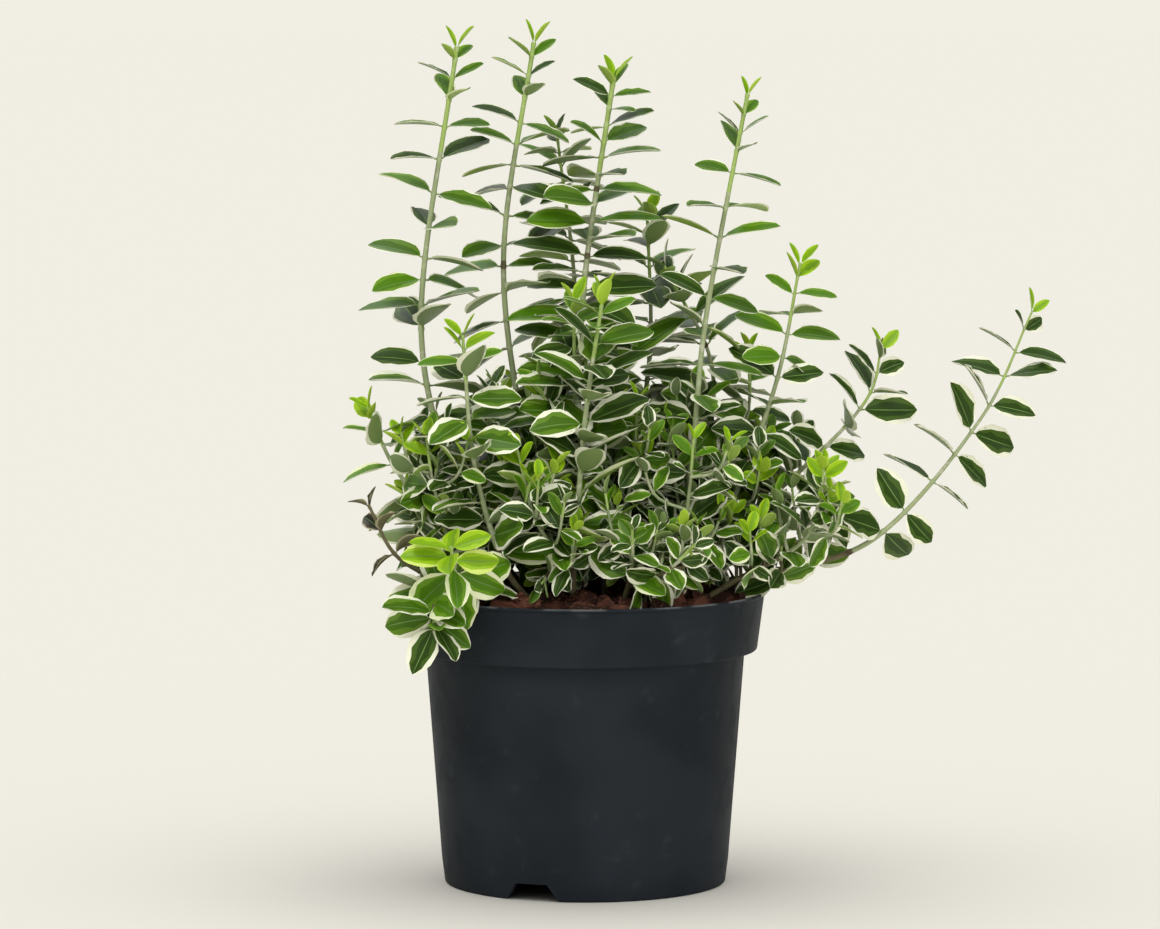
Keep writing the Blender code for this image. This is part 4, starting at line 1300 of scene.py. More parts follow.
@dataclass(frozen=True)
class BladeShape:
    """One kind of leaf blade, with sizes as shares of its length.

    width is its widest, fold how far its edges rise over its rib per half width, droop how far its tip falls,
    green the least and the most of the half width inside its pale edge, wave the waving of that edge, twist
    the turn of its tip in degrees, and edge the zone of its rim.
    """

    kind: Kind
    width: float
    fold: float
    droop: float
    green: tuple[float, float]
    wave: float
    twist: float
    edge: Zone = Zone.MARGIN
    variants: int = 6
    stations: tuple[float, ...] = (0.08, 0.15, 0.27, 0.41, 0.56, 0.71, 0.84, 0.94, 1.0)
    widths: tuple[float, ...] = (0, 0.38, 0.76, 0.96, 1.0, 0.91, 0.69, 0.37, 0)
    dark: tuple[float, float] = (0.4, 0.8)  # how far out the darker green reaches
    dark_lift: float = 0.003
    margin_lift: float = 0.002
    under_green: float = 0.76  # how far out the underside's green reaches
    fold_at_rib: float = 1.25  # how much steeper a half rises beside the rib, and how much that eases
    fold_ease: float = 0.35
    stretches: tuple[float, float] = (0.92, 1.08)
    droop_jitter: tuple[float, float] = (0.5, 1.5)
    lean: float = 0.03
    teeth: float = 0.055
    thickness: float = 0.014
    rib_width: float = 0.035
    stalk_length: float = 0.11
    stalk_radius: float = 0.02
    stalk_taper: float = 0.6
    stalk_drop: float = 0.5

    def mesh(self, index: int) -> bpy.types.Mesh:
        """Makes one variant, a unit long, with the zone of each face as an attribute.

        Args:
            index: Which variant.

        Returns:
            The mesh: a closed blade along X, face up, and its short stalk from the origin.
        """
        draw = random.Random(f"{self.kind.name} {index}")
        bm = bmesh.new()
        zone = bm.faces.layers.int.new("zone")
        stretch = draw.uniform(*self.stretches)
        droop = self.droop * draw.uniform(*self.droop_jitter)
        twist = math.radians(self.twist * draw.uniform(-1, 1))
        lean = draw.uniform(-self.lean, self.lean)

        def point(
            station: float, across: float, half: float, lift: float = 0, wave: float = 0
        ) -> bmesh.types.BMVert:
            """Adds a point of the blade.

            Args:
                station: How far it is along the blade.
                across: How far it is across the half width, left of the rib if negative.
                half: The half width there.
                lift: How far it is off the middle surface.
                wave: How far the waving lifts it.

            Returns:
                The point.
            """
            turn = Matrix.Rotation(twist * station, 3, "X")
            steep = self.fold_at_rib - self.fold_ease * abs(across)
            rise = self.fold * abs(across) * half * steep + wave
            out = turn @ Vector((0, across * half, rise + lift))
            sweep = lean * math.sin(math.pi * station)
            return bm.verts.new((station, out.y + sweep, out.z - droop * station**2))

        def face(corners: Sequence[bmesh.types.BMVert], kind: Zone) -> None:
            """Adds a face of a zone."""
            bm.faces.new(corners)[zone] = kind

        tops, unders = [], []
        for station, width in zip(self.stations[1:-1], self.widths[1:-1]):
            half = self.width / 2 * width * stretch
            sides = []
            for sign in (-1, 1):
                edge = half * draw.uniform(1 - self.teeth, 1 + self.teeth)
                inner = draw.uniform(*self.green)
                wave = self.wave * draw.uniform(-1, 1)
                border = point(station, sign, edge, 0, wave)
                green_end = point(station, sign * inner, edge, self.margin_lift, wave * inner**2)
                sides.append((border, green_end, inner, edge))
            (left, left_in, left_share, left_edge), (right, right_in, right_share, right_edge) = sides
            left_dark = left_share * draw.uniform(*self.dark)
            right_dark = right_share * draw.uniform(*self.dark)
            rib, lift = self.rib_width, self.dark_lift
            tops.append([
                left, left_in, point(station, -left_dark, left_edge, lift), point(station, -rib, half),
                point(station, rib, half), point(station, right_dark, right_edge, lift), right_in, right,
            ])
            shares = (-self.under_green, 0, self.under_green)
            unders.append([left, *(point(station, share, half, -self.thickness) for share in shares), right])
        root, tip = point(self.stations[0], 0, 0), point(self.stations[-1], 0, 0)
        top_zones = (self.edge, Zone.FLECK, Zone.BLADE, Zone.RIB, Zone.BLADE, Zone.FLECK, self.edge)
        under_zones = (self.edge, Zone.UNDER, Zone.UNDER, self.edge)
        for rows, zones, flip in ((tops, top_zones, False), (unders, under_zones, True)):
            for i in range(len(rows) + 1):
                for k, kind in enumerate(zones):
                    if i == 0:
                        corners = (root, rows[0][k], rows[0][k + 1])
                    elif i == len(rows):
                        corners = (tip, rows[-1][k + 1], rows[-1][k])
                    else:
                        corners = (rows[i - 1][k], rows[i][k], rows[i][k + 1], rows[i - 1][k + 1])
                    face(corners[::-1] if not flip else corners, kind)
        self.add_stalk(bm, zone)
        outline = {row[i] for row in tops for i in (0, -1)} | {root, tip}
        for edge in bm.edges:
            edge.smooth = not outline.issuperset(edge.verts)
        for one in bm.faces:
            one.smooth = True
        return mesh_of(f"leaf_{self.kind.name.lower()}_{index}", bm, 1)

    def add_stalk(self, bm: bmesh.types.BMesh, zone: bmesh.types.BMLayerItem) -> None:
        """Adds the short stalk from the stem to the blade.

        Args:
            bm: The leaf's bmesh.
            zone: Its layer of zones.
        """
        rings = []
        for x, radius in ((0, self.stalk_radius), (self.stalk_length, self.stalk_radius * self.stalk_taper)):
            lift = -radius * self.stalk_drop
            corners = ((radius, 0), (0, radius), (-radius, 0), (0, -radius))
            rings.append([bm.verts.new((x, y, z + lift)) for y, z in corners])
        for k in range(4):
            after = (k + 1) % 4
            bm.faces.new((rings[0][k], rings[0][after], rings[1][after], rings[1][k]))[zone] = Zone.STALK
        bm.faces.new(rings[0][::-1])[zone] = Zone.STALK
        bm.faces.new(rings[1])[zone] = Zone.STALK


BLADES = (
    BladeShape(
        Kind.YOUNG, width=0.46, fold=0.4, droop=0.03, green=(0.86, 0.94), wave=0.005, twist=8, edge=Zone.EDGE
    ),
    BladeShape(Kind.SLIM, width=0.48, fold=0.28, droop=0.12, green=(0.82, 0.94), wave=0.014, twist=16),
    BladeShape(Kind.BROAD, width=0.56, fold=0.24, droop=0.1, green=(0.58, 0.89), wave=0.03, twist=24),
    BladeShape(Kind.SHRIVELLED, width=0.5, fold=0.6, droop=0.3, green=(0.7, 0.9), wave=0.05, twist=50),
)


class LeafPieces:
    """The leaves of each region as one mesh, with a blade on each leaf's point."""

    def __init__(self) -> None:
        """Makes the blades and the tree that sets them on points."""
        self.blades = bpy.data.collections.new("leaf_blades")
        self.first: dict[Kind, int] = {}
        count = 0
        for shape in BLADES:
            self.first[shape.kind] = count
            for index in range(shape.variants):
                blade = bpy.data.objects.new(f"blade_{count:02d}", shape.mesh(index))
                self.blades.objects.link(blade)
                count += 1
        self.variants = {shape.kind: shape.variants for shape in BLADES}
        self.tree = self.make_tree()

    def make_tree(self) -> GeometryTree:
        """Makes the Geometry Nodes tree that sets a blade on each point.

        Returns:
            The tree, which reads each point's turn, size, blade and tone.
        """
        tree = GeometryTree("leaves_on_stems")
        blades = tree.input("Blades", "NodeSocketCollection", self.blades)
        growth = tree.input("Growth", "NodeSocketFloat", 1.0)
        links = {"Collection": blades, "Separate Children": True, "Reset Children": True}
        kinds = tree.add("GeometryNodeCollectionInfo", links=links)
        euler = tree.attribute("turn", "FLOAT_VECTOR")
        turn = tree.add("FunctionNodeEulerToRotation", links={"Euler": euler})
        links = {"Value": tree.attribute("size", "FLOAT"), "Value_001": growth}
        size = tree.add("ShaderNodeMath", {"operation": "MULTIPLY"}, links)
        leaves = tree.add("GeometryNodeInstanceOnPoints", links={
            "Points": tree.entry.outputs["Geometry"], "Instance": kinds, "Pick Instance": True,
            "Instance Index": tree.attribute("blade", "INT"), "Rotation": turn, "Scale": size,
        })
        finishes = [
            (made, {"zone": int(zone), "tone": int(tone)})
            for (tone, zone), made in leaf_materials().items()
        ]
        tree.finish(leaves, finishes)
        return tree

    def make(self, region: Region, growths: Sequence[Growth]) -> bpy.types.Object:
        """Makes one region's leaves.

        Args:
            region: The region.
            growths: Its shoots.

        Returns:
            The piece.
        """
        leaves = [leaf for growth in growths for leaf in growth.leaves]
        draw = random.Random(f"leaves {region.value}")
        base = bpy.data.meshes.new("leaf_points")
        base.from_pydata([leaf.place.translation * MM for leaf in leaves], [], [])
        give_attribute(base, "turn", "FLOAT_VECTOR", [tuple(leaf.place.to_euler()) for leaf in leaves])
        give_attribute(base, "size", "FLOAT", [leaf.length * MM for leaf in leaves])
        blades = [self.first[leaf.kind] + draw.randrange(self.variants[leaf.kind]) for leaf in leaves]
        give_attribute(base, "blade", "INT", blades)
        give_attribute(base, "tone", "INT", [int(leaf.tone) for leaf in leaves])
        return self.tree.run(f"leaves_{region.value}", base)


@dataclass
class StemPieces:
    """The stems and twigs as tubes along their lines, swollen where leaves stand, with the relief of bark.

    A stem is brown below bark_top and pale beyond young_share of its length. A scar is brown for scar_reach
    on either side of a node.
    """

    sides: int = 8
    node_swelling: float = 0.22
    node_reach: float = 1.6
    least_step: float = 0.5
    bark_top: float = 174.0
    young_share: float = 0.8
    scar_chance: float = 0.06
    scar_reach: float = 3.0
    relief: float = 0.16
    relief_size: float = 2.2
    foot_radii: tuple[float, float] = (1.9, 1.6)
    flare: float = 1.3
    flare_length: float = 4.0

    def __post_init__(self) -> None:
        """Makes the tree that turns lines into tubes."""
        finishes = {
            Age.BARK: StemSkin("creeper_bark_brown", "#6c6547", fleck="#4c412c").material(),
            Age.GREEN: StemSkin("creeper_bark_green", "#a2ae80", fleck="#c3c4a6").material(),
            Age.YOUNG: StemSkin("creeper_shoot_pale", "#a3bb66", fleck="#b3c682").material(),
        }
        tree = GeometryTree("tubes_on_lines")
        relief = tree.input("Relief", "NodeSocketFloat", self.relief * MM)
        sides = tree.input("Sides", "NodeSocketInt", self.sides)
        lines = tree.add("GeometryNodeMeshToCurve", links={"Mesh": tree.entry.outputs["Geometry"]})
        ring = tree.add("GeometryNodeCurvePrimitiveCircle", links={"Resolution": sides, "Radius": 1.0})
        radius = tree.attribute("radius", "FLOAT")
        links = {"Curve": lines, "Profile Curve": ring, "Scale": radius, "Fill Caps": True}
        tubes = tree.add("GeometryNodeCurveToMesh", links=links)
        rough = tree.add("ShaderNodeTexNoise", links={"Scale": 1 / (self.relief_size * MM), "Detail": 2.0})
        centred = tree.add("ShaderNodeMath", {"operation": "SUBTRACT"}, {"Value": rough, "Value_001": 0.5})
        depth = tree.add("ShaderNodeMath", {"operation": "MULTIPLY"}, {"Value": centred, "Value_001": relief})
        links = {"Vector": tree.add("GeometryNodeInputNormal"), "Scale": depth}
        offset = tree.add("ShaderNodeVectorMath", {"operation": "SCALE"}, links)
        moved = tree.add("GeometryNodeSetPosition", links={"Geometry": tubes, "Offset": offset})
        smooth = tree.add("GeometryNodeSetShadeSmooth", links={"Geometry": moved, "Shade Smooth": True})
        tree.finish(smooth, [(made, {"age": int(age)}) for age, made in finishes.items()])
        self.tree = tree

    def make(self, name: str, tubes: Iterable[tuple[Line, list[float], list[int]]]) -> bpy.types.Object:
        """Makes one piece of tubes.

        Args:
            name: The piece's name.
            tubes: Each tube's line, with the radius and the age at each of its points.

        Returns:
            The piece.
        """
        points, edges, radii, ages = [], [], [], []
        for line, widths, skin in tubes:
            start = len(points)
            points += [point * MM for point in line.points]
            edges += [(start + i, start + i + 1) for i in range(len(line.points) - 1)]
            radii += [width * MM for width in widths]
            ages += skin
        base = bpy.data.meshes.new(name + "_lines")
        base.from_pydata(points, edges, [])
        give_attribute(base, "radius", "FLOAT", radii)
        give_attribute(base, "age", "INT", ages)
        return self.tree.run(name, base)

    def tube_of(self, axis: Axis, draw: random.Random) -> tuple[Line, list[float], list[int]]:
        """Works out a leafy stem's radius and age along its line, which gets a point at each node too.

        Args:
            axis: The stem.
            draw: The random numbers.

        Returns:
            The line, and the radius and age at each of its points.
        """
        line = axis.line
        wanted = set(line.lengths)
        for node in axis.nodes:
            wanted |= {node - self.node_reach, node, node + self.node_reach}
        stations = []
        for distance in sorted(d for d in wanted if 0 <= d <= line.length):
            if not stations or distance - stations[-1] > self.least_step:
                stations.append(distance)
        scars = {node for node in axis.nodes if draw.random() < self.scar_chance}
        radii, ages = [], []
        for distance in stations:
            share = distance / line.length
            radius = axis.radii[0] + (axis.radii[1] - axis.radii[0]) * share
            nearest = min((abs(distance - node) for node in axis.nodes), default=self.node_reach)
            radius *= 1 + self.node_swelling * max(0, 1 - nearest / self.node_reach)
            height = line.at(distance)[0].z
            age = Age.BARK if height < self.bark_top else Age.GREEN
            if axis.tip is Tip.DRY:
                age = Age.BARK
            elif share > self.young_share:
                age = Age.YOUNG
            elif any(abs(distance - node) < self.scar_reach for node in scars):
                age = Age.BARK
            radii.append(radius)
            ages.append(int(age))
        return Line(*zip(*(line.at(distance) for distance in stations))), radii, ages

    def foot_of(self, line: Line) -> tuple[Line, list[float], list[int]]:
        """Works out a bare stem's radius along its line, with the flare at its foot.

        Args:
            line: The stem's line.

        Returns:
            The line, and the radius and age at each of its points.
        """
        radii = []
        for distance in line.lengths:
            radius = self.foot_radii[0] + (self.foot_radii[1] - self.foot_radii[0]) * distance / line.length
            radii.append(radius + self.flare * max(0, 1 - distance / self.flare_length))
        return line, radii, [int(Age.BARK)] * len(radii)


# Pot and soil


@dataclass
class Pot:
    """The pot: a tapering body under a wider band with a rolled lip, on a foot ring and a pad.

    Radii are measured from the axis and heights from the ground, and the outermost come from the frame.
    """

    height: float = field(default_factory=lambda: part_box("pot")[1].z / MM)
    lip_radius: float = field(default_factory=lambda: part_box("pot")[1].x / MM)
    lip_depth: float = 1.5
    lip_edge: float = 0.5
    band_top_radius: float = 94.6
    band_low_radius: float = 90.3
    band_low_height: float = 123
    body_top_radius: float = 83.8
    body_low_radius: float = 75.4
    body_low_height: float = 12.5
    foot_radius: float = 73.8
    foot_width: float = 4
    wall: float = 1.6
    floor_height: float = 10
    pad_radius: float = 22
    sides: int = 144
    rounding: float = 1.2
    rounding_share: float = 0.4  # the most of an edge that a rounded corner takes
    rounding_steps: tuple[float, ...] = (0, 0.33, 0.67, 1)
    sharp_angle: float = 30
    notch_count: int = 3
    notch_first_angle: float = -112
    notch_widths: tuple[float, float] = (29, 17.5)
    notch_height: float = 9
    notch_reach: tuple[float, float] = (60, 81)
    drain_count: int = 6
    drain_radius: float = 5.5
    drain_circle: float = 47
    drain_offset: float = 0.42
    drain_sides: int = 24
    drain_depth: float = 12.8

    def profile(self) -> list[tuple[float, float]]:
        """Lists the wall's corners from the axis under the floor round to the axis above it.

        Returns:
            The (radius, height) corners.
        """
        inner_foot = self.foot_radius - self.foot_width
        wall = self.wall
        slope = (self.body_top_radius - self.body_low_radius) / (self.band_low_height - self.body_low_height)
        floor = self.floor_height + wall
        floor_radius = self.body_low_radius + (floor - self.body_low_height) * slope - wall
        return [
            (0, 0), (self.pad_radius, 0), (self.pad_radius + wall, self.floor_height),
            (inner_foot, self.floor_height), (inner_foot, 0), (self.foot_radius, 0),
            (self.body_low_radius, self.body_low_height), (self.body_top_radius, self.band_low_height),
            (self.band_low_radius, self.band_low_height),
            (self.band_top_radius - self.lip_edge, self.height - self.lip_depth - self.lip_edge),
            (self.lip_radius, self.height - self.lip_depth), (self.lip_radius, self.height),
            (self.band_top_radius - wall, self.height),
            (self.band_low_radius - wall, self.band_low_height + wall),
            (self.body_top_radius - wall, self.band_low_height + wall), (floor_radius, floor),
            (self.pad_radius, floor), (self.pad_radius - wall, wall), (0, wall),
        ]

    def rounded(self) -> list[tuple[float, float]]:
        """Rounds the profile's corners, each by as much as its edges allow.

        Returns:
            The (radius, height) points.
        """
        corners = [Vector(corner) for corner in self.profile()]
        made = [corners[0]]
        for before, corner, after in zip(corners, corners[1:], corners[2:]):
            back, on = before - corner, after - corner
            reach = min(self.rounding, back.length * self.rounding_share, on.length * self.rounding_share)
            start, end = corner + back.normalized() * reach, corner + on.normalized() * reach
            for t in self.rounding_steps:
                made.append(start * (1 - t) ** 2 + corner * 2 * t * (1 - t) + end * t**2)
        return [tuple(point) for point in (*made, corners[-1])]

    def cutters(self) -> list[bpy.types.Object]:
        """Makes the bodies that cut the notches out of the foot ring and the drain holes out of the floor.

        Returns:
            The bodies.
        """
        made = []
        for i in range(self.notch_count):
            bm = bmesh.new()
            half_top = self.notch_widths[1] / 2
            half_low = self.notch_widths[0] - half_top
            section = [(-half_low, -1), (half_low, -1), (half_top, 1), (-half_top, 1)]
            rings = [
                [bm.verts.new((x, y, z * self.notch_height)) for y, z in section] for x in self.notch_reach
            ]
            bmesh.ops.convex_hull(bm, input=[vert for ring in rings for vert in ring])
            angle = math.radians(self.notch_first_angle) + math.tau * i / self.notch_count
            bmesh.ops.rotate(bm, verts=bm.verts, matrix=Matrix.Rotation(angle, 3, "Z"))
            made.append(linked(f"notch_{i}", mesh_of(f"notch_{i}", bm)))
        for i in range(self.drain_count):
            bm = bmesh.new()
            angle = math.tau * (i + self.drain_offset) / self.drain_count
            place = Vector((math.cos(angle), math.sin(angle), 0)) * self.drain_circle
            place.z = self.floor_height + self.wall / 2
            bmesh.ops.create_cone(
                bm, cap_ends=True, segments=self.drain_sides, radius1=self.drain_radius,
                radius2=self.drain_radius, depth=self.drain_depth, matrix=Matrix.Translation(place),
            )
            made.append(linked(f"drain_{i}", mesh_of(f"drain_{i}", bm)))
        return made

    def build(self) -> bpy.types.Object:
        """Turns the wall, cuts its openings and dresses it.

        Returns:
            The pot.
        """
        pot = linked("pot_shell", mesh_of("pot_shell", turned(self.rounded(), self.sides)))
        cutters = self.cutters()
        group = bpy.data.collections.new("pot_cutters")
        for cutter in cutters:
            group.objects.link(cutter)
        cut = pot.modifiers.new("Openings", "BOOLEAN")
        cut.operation, cut.operand_type, cut.collection = "DIFFERENCE", "COLLECTION", group
        evaluated = pot.evaluated_get(bpy.context.evaluated_depsgraph_get())
        made = bpy.data.meshes.new_from_object(evaluated)
        pot.modifiers.clear()
        pot.data = made
        for cutter in cutters:
            bpy.data.objects.remove(cutter)
        bpy.data.collections.remove(group)
        made.materials.clear()
        made.materials.append(PotPlastic().material())
        made.shade_smooth()
        made.set_sharp_from_angle(angle=math.radians(self.sharp_angle))
        return pot


def turned(profile: Sequence[tuple[float, float]], sides: int) -> bmesh.types.BMesh:
    """Turns a profile of (radius, height) points about Z.

    Args:
        profile: The points.
        sides: How many steps go round.

    Returns:
        A bmesh, closed at the axis.
    """
    bm = bmesh.new()
    verts = [bm.verts.new((radius, 0, height)) for radius, height in profile]
    edges = [bm.edges.new(pair) for pair in zip(verts, verts[1:])]
    bmesh.ops.spin(
        bm, geom=verts + edges, cent=(0, 0, 0), axis=(0, 0, 1), angle=math.tau, steps=sides, use_merge=True
    )
    bmesh.ops.remove_doubles(bm, verts=bm.verts, dist=0.001)
    bmesh.ops.recalc_face_normals(bm, faces=bm.faces)
    return bm


@dataclass(frozen=True)
class LooseBark:
    """Loose bark of one grade, strewn on the soil.

    low and high are the least and the greatest length, width and height of a piece, and spacing the least
    distance between two. They lie within spread of the axis, with their middles lift over the soil, and lean
    by up to tilt in radians. bow is how far a piece bends for its length, and bevel how worn its edges are.
    """

    name: str
    kind: str
    finish: BarkChip
    low: tuple[float, float, float]
    high: tuple[float, float, float]
    spacing: float
    spread: float
    lift: float
    tilt: float
    bow: float = 0
    bevel: float = 0
    kinds: int = 8
    tapers: tuple[float, float] = (0.35, 0.9)
    roughness: float = 0.08
    density: float = 3e5
    disc_sides: int = 48

    def piece(self, index: int) -> bpy.types.Mesh:
        """Makes one piece of bark.

        Args:
            index: Which one.

        Returns:
            Its mesh, centred on the origin.
        """
        draw = random.Random(f"{self.kind} {index}")
        sizes = [draw.uniform(least, most) for least, most in zip(self.low, self.high)]
        bm = bmesh.new()
        bmesh.ops.create_cube(bm, size=1)
        if self.bevel:
            bmesh.ops.subdivide_edges(bm, edges=bm.edges, cuts=1, use_grid_fill=True)
        taper = draw.uniform(*self.tapers)
        for vert in bm.verts:
            x, y, z = vert.co
            y *= 1 - (1 - taper) * (x + 0.5)
            rough = [draw.uniform(-self.roughness, self.roughness) for _ in range(3)]
            vert.co = Vector([(at + moved) * size for at, moved, size in zip((x, y, z), rough, sizes)])
            vert.co.z += self.bow * sizes[0] * math.cos(math.pi * x)
        if self.bevel:
            bmesh.ops.bevel(
                bm, geom=bm.edges, offset=self.bevel, segments=1, affect="EDGES", clamp_overlap=True
            )
        bmesh.ops.recalc_face_normals(bm, faces=bm.faces)
        return mesh_of(f"{self.kind}_{index}", bm)

    def strewn(self, top: float, seed: int) -> bpy.types.Object:
        """Strews the pieces over the top of the soil.

        Args:
            top: How high that is.
            seed: The seed of their places and turns.

        Returns:
            Them all as one piece.
        """
        kinds = bpy.data.collections.new(self.name + "_kinds")
        for i in range(self.kinds):
            kinds.objects.link(bpy.data.objects.new(f"{self.name}_kind_{i}", self.piece(i)))
        tree = GeometryTree(self.name + "_strewn")
        chosen = tree.input("Kinds", "NodeSocketCollection", kinds)
        apart = tree.input("Spacing", "NodeSocketFloat", self.spacing * MM)
        chance = tree.input("Seed", "NodeSocketInt", seed)
        links = {"Mesh": tree.entry.outputs["Geometry"], "Distance Min": apart, "Density Max": self.density}
        links["Seed"] = chance
        points = tree.add("GeometryNodeDistributePointsOnFaces", {"distribute_method": "POISSON"}, links)
        links = {"Collection": chosen, "Separate Children": True, "Reset Children": True}
        shapes = tree.add("GeometryNodeCollectionInfo", links=links)
        links = {"Min": (-self.tilt, -self.tilt, 0), "Max": (self.tilt, self.tilt, math.tau), "Seed": chance}
        turn = tree.add("FunctionNodeRandomValue", {"data_type": "FLOAT_VECTOR"}, links)
        links = {"Min": 0, "Max": self.kinds - 1, "Seed": chance}
        which = tree.add("FunctionNodeRandomValue", {"data_type": "INT"}, links)
        turned_by = tree.add("FunctionNodeEulerToRotation", links={"Euler": turn})
        strewn = tree.add("GeometryNodeInstanceOnPoints", links={
            "Points": points, "Instance": shapes, "Pick Instance": True, "Instance Index": which,
            "Rotation": turned_by,
        })
        tree.finish(strewn, [(self.finish.material(), {})])
        disc = bmesh.new()
        middle = Matrix.Translation((0, 0, top + self.lift))
        bmesh.ops.create_circle(
            disc, cap_ends=True, segments=self.disc_sides, radius=self.spread, matrix=middle
        )
        return tree.run(self.name, mesh_of(self.name + "_ground", disc))


CHIPS = LooseBark(
    "bark_chips", "chip", BarkChip(), low=(15, 9, 5), high=(28, 15, 9), spacing=11.0, spread=80, lift=3.6,
    tilt=0.6, bow=0.06, bevel=0.35,
)
CRUMBS = LooseBark(
    "bark_crumbs", "crumb", BarkChip("fine_pine_bark", "#452b20", dark="#1c100b", pale="#6a4735"),
    low=(1.6, 1.2, 0.9), high=(4.2, 2.6, 2.0), spacing=3.2, spread=87.8, lift=1.2, tilt=0.9,
)


@dataclass
class SoilBed:
    """The soil in the pot, uneven on top, and the loose bark on it."""

    pot: Pot
    gap: float = 0.3
    top: float = SOIL_HEIGHT
    unevenness: float = 2.2
    even_edge: float = 1.0  # how far in from the pot's wall the top is even
    sides: int = 96
    rings: int = 24
    seed: int = 5

    def bed(self) -> bpy.types.Mesh:
        """Makes the soil's body with an uneven top.

        Returns:
            Its mesh.
        """
        pot, gap = self.pot, self.gap
        floor, shelf = pot.floor_height + pot.wall + gap, pot.band_low_height + pot.wall + gap
        rise = (self.top - pot.band_low_height) / (pot.height - pot.band_low_height)
        reach = pot.band_low_radius + (pot.band_top_radius - pot.band_low_radius) * rise - pot.wall - gap
        profile = [
            (0, floor), (pot.body_low_radius - pot.wall - gap, floor),
            (pot.body_top_radius - pot.wall - gap, shelf), (pot.band_low_radius - pot.wall - gap, shelf),
        ]
        profile += [(reach * (1 - i / self.rings), self.top) for i in range(self.rings + 1)]
        bm = turned(profile, self.sides)
        draw = random.Random(self.seed)
        for vert in bm.verts:
            if vert.co.z > self.top - self.even_edge and vert.co.xy.length < reach - self.even_edge:
                vert.co.z += draw.uniform(-1, 1) * self.unevenness
        return mesh_of("soil_bed", bm)

    def build(self) -> list[bpy.types.Object]:
        """Makes the soil's body and the loose bark.

        Returns:
            The pieces.
        """
        bed = linked("soil_bed", self.bed())
        bed.data.materials.append(PottingSoil().material())
        return [bed, *(grade.strewn(self.top, self.seed) for grade in (CHIPS, CRUMBS))]


# Studio


@dataclass(frozen=True)
class SoftLight:
    """A square soft light on the object alone: its place and width in metres, and its power."""

    name: str
    place: tuple[float, float, float]
    width: float
    power: float


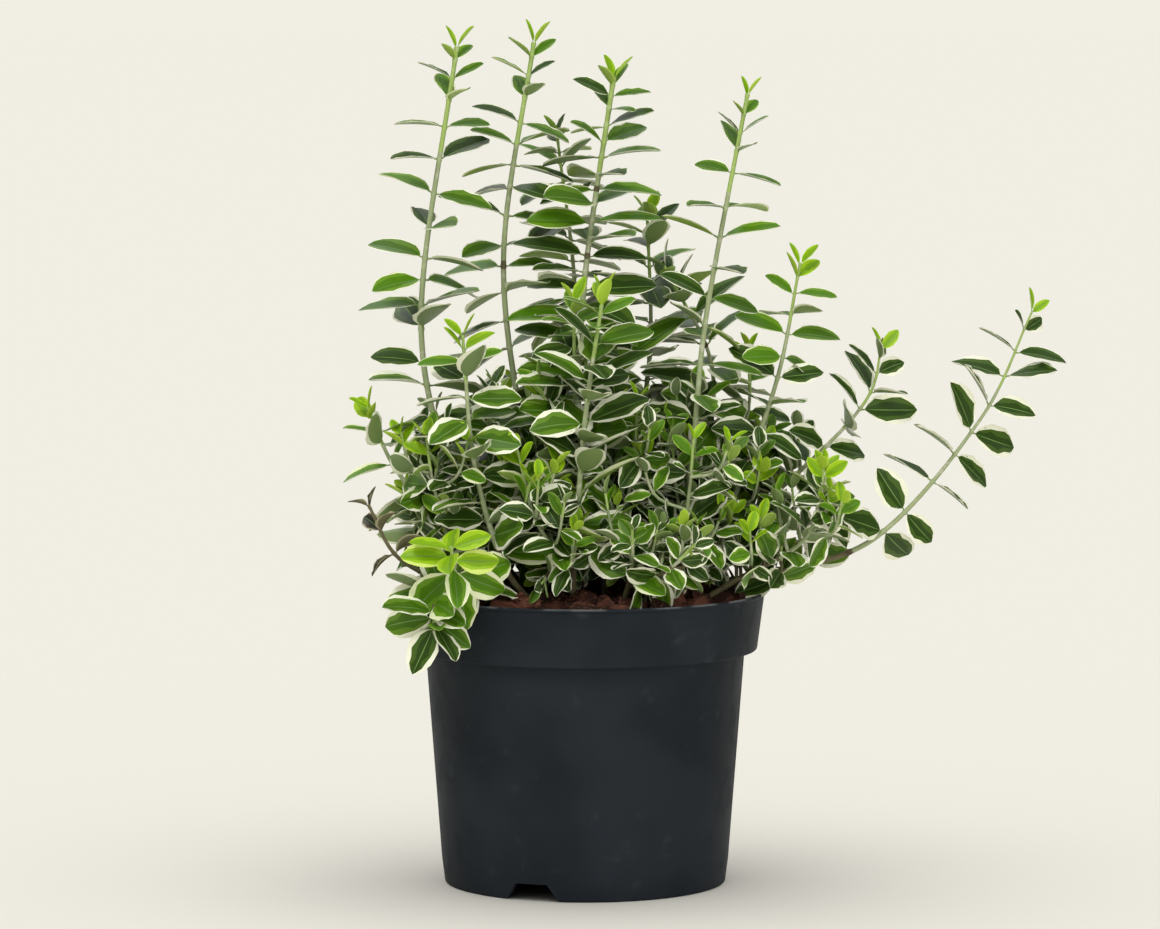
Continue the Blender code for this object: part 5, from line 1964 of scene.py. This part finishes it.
@dataclass
class Studio:
    """The floor, lights and camera, in metres. The key light is over the camera's left shoulder."""

    floor_reach: float = 60.0
    floor_sides: int = 64
    floor_light: float = 1.21
    floor_light_angle: float = 70
    camera_place: tuple[float, float, float] = (-0.0027, -2.8, 0.466)
    camera_aim: tuple[float, float, float] = (-0.0027, 0.0, 0.2197)
    lens: float = 166.475
    sensor: float = 36.0
    sky_seen: str = "#f1eee3"
    sky_glow: str = "#fbfbff"
    sky_span: tuple[float, float] = (0.05, 0.8)
    sky_strengths: tuple[float, float] = (0.1, 0.75)
    light_aim: tuple[float, float, float] = (0, 0, 0.2)
    lights: tuple[SoftLight, ...] = (
        SoftLight("key", (-0.8, -1.8, 2.3), 0.9, 31.0),
        SoftLight("fill", (0.9, -2.2, 0.8), 1.2, 15.5),
        SoftLight("back", (-0.7, 1.8, 1.7), 1.2, 6.665),
    )

    def build(self) -> None:
        """Makes all of it."""
        scene = bpy.context.scene
        scene.view_settings.view_transform = "Standard"
        bm = bmesh.new()
        bmesh.ops.create_circle(bm, cap_ends=True, segments=self.floor_sides, radius=self.floor_reach)
        floor = linked("studio_floor", mesh_of("studio_floor", bm, 1))
        floor.data.materials.append(Backdrop().material())
        floor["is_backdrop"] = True
        self.make_sky(scene)
        self.make_lights(floor)
        camera = bpy.data.objects.new("camera", bpy.data.cameras.new("camera"))
        camera.data.lens, camera.data.sensor_width = self.lens, self.sensor
        camera.data.clip_end = self.floor_reach * 2
        self.aim(camera, self.camera_place, self.camera_aim)
        scene.camera = camera

    def aim(self, thing: bpy.types.Object, place: Sequence[float], target: Sequence[float]) -> None:
        """Puts a camera or a lamp in the scene.

        Args:
            thing: The camera or the lamp.
            place: Where it stands.
            target: What it looks at.
        """
        thing.location = place
        thing.rotation_euler = (Vector(target) - thing.location).to_track_quat("-Z", "Y").to_euler()
        bpy.context.scene.collection.objects.link(thing)

    def make_sky(self, scene: bpy.types.Scene) -> None:
        """Makes the even light of the studio, which shows as the board's colour behind the object.

        Args:
            scene: The scene.
        """
        world = bpy.data.worlds.new("studio_sky")
        scene.world = world
        world.use_nodes = True
        tree = world.node_tree
        tree.nodes.clear()
        seen = add_node(tree, "ShaderNodeBackground", links={"Color": linear(self.sky_seen), "Strength": 1.0})
        upward = add_node(tree, "ShaderNodeTexCoord", output="Generated")
        height = add_node(tree, "ShaderNodeSeparateXYZ", links={"Vector": upward}, output="Z")
        links = {"Value": height, "From Min": self.sky_span[0], "From Max": self.sky_span[1]}
        links |= {"To Min": self.sky_strengths[0], "To Max": self.sky_strengths[1]}
        glow = add_node(tree, "ShaderNodeMapRange", {"interpolation_type": "SMOOTHSTEP"}, links)
        links = {"Color": linear(self.sky_glow), "Strength": glow}
        light = add_node(tree, "ShaderNodeBackground", links=links)
        straight = add_node(tree, "ShaderNodeLightPath", output="Is Camera Ray")
        links = {"Fac": straight, "Shader": light, "Shader_001": seen}
        mix = add_node(tree, "ShaderNodeMixShader", links=links)
        add_node(tree, "ShaderNodeOutputWorld", links={"Surface": mix})

    def make_lights(self, floor: bpy.types.Object) -> None:
        """Makes the soft lights on the object, and a light for the floor.

        Args:
            floor: The floor.
        """
        subject = bpy.data.collections.new("lit_subject")
        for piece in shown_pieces():
            subject.objects.link(piece)
        ground = bpy.data.collections.new("lit_ground")
        ground.objects.link(floor)
        for one in self.lights:
            light = bpy.data.lights.new(one.name, "AREA")
            light.size, light.energy = one.width, one.power
            lamp = bpy.data.objects.new(one.name, light)
            lamp.light_linking.receiver_collection = subject
            self.aim(lamp, one.place, self.light_aim)
        sun = bpy.data.lights.new("floor_light", "SUN")
        sun.energy, sun.angle = self.floor_light, math.radians(self.floor_light_angle)
        lamp = bpy.data.objects.new("floor_light", sun)
        lamp.light_linking.receiver_collection = ground
        bpy.context.scene.collection.objects.link(lamp)


def placed(piece: bpy.types.Object, nodes: Iterable[str]) -> None:
    """Rides a piece on the body, in place of its CAD nodes, and reports it.

    Args:
        piece: The piece.
        nodes: The CAD nodes it stands for.
    """
    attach(piece, "root")
    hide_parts(*nodes)
    LOG.info("%s: %d faces", piece.name, len(piece.data.polygons))


def main() -> None:
    """Builds the pot, the soil, the stems, the leaves and the studio."""
    logging.basicConfig(level=logging.INFO, format="%(message)s")
    pot = Pot()
    placed(pot.build(), ["pot"])
    for piece in SoilBed(pot).build():
        placed(piece, ["soil"])
    plant = Plant()
    LOG.info("%d leaves", plant.grow())
    tubes, leaves = StemPieces(), LeafPieces()
    feet = [tubes.foot_of(line) for _, line in plant.bare]
    placed(tubes.make("bare_stems", feet), [stem.name for stem, _ in plant.bare])
    draw = random.Random("stems")
    for region in Region:
        growths = [growth for growth in plant.growths if growth.region is region]
        nodes = [growth.shoot.name for growth in growths]
        stems = [tubes.tube_of(axis, draw) for growth in growths for axis in growth.axes]
        placed(tubes.make(f"shoots_{region.value}", stems), nodes)
        placed(leaves.make(region, growths), nodes)
    Studio().build()


if __name__ == "__main__":
    main()
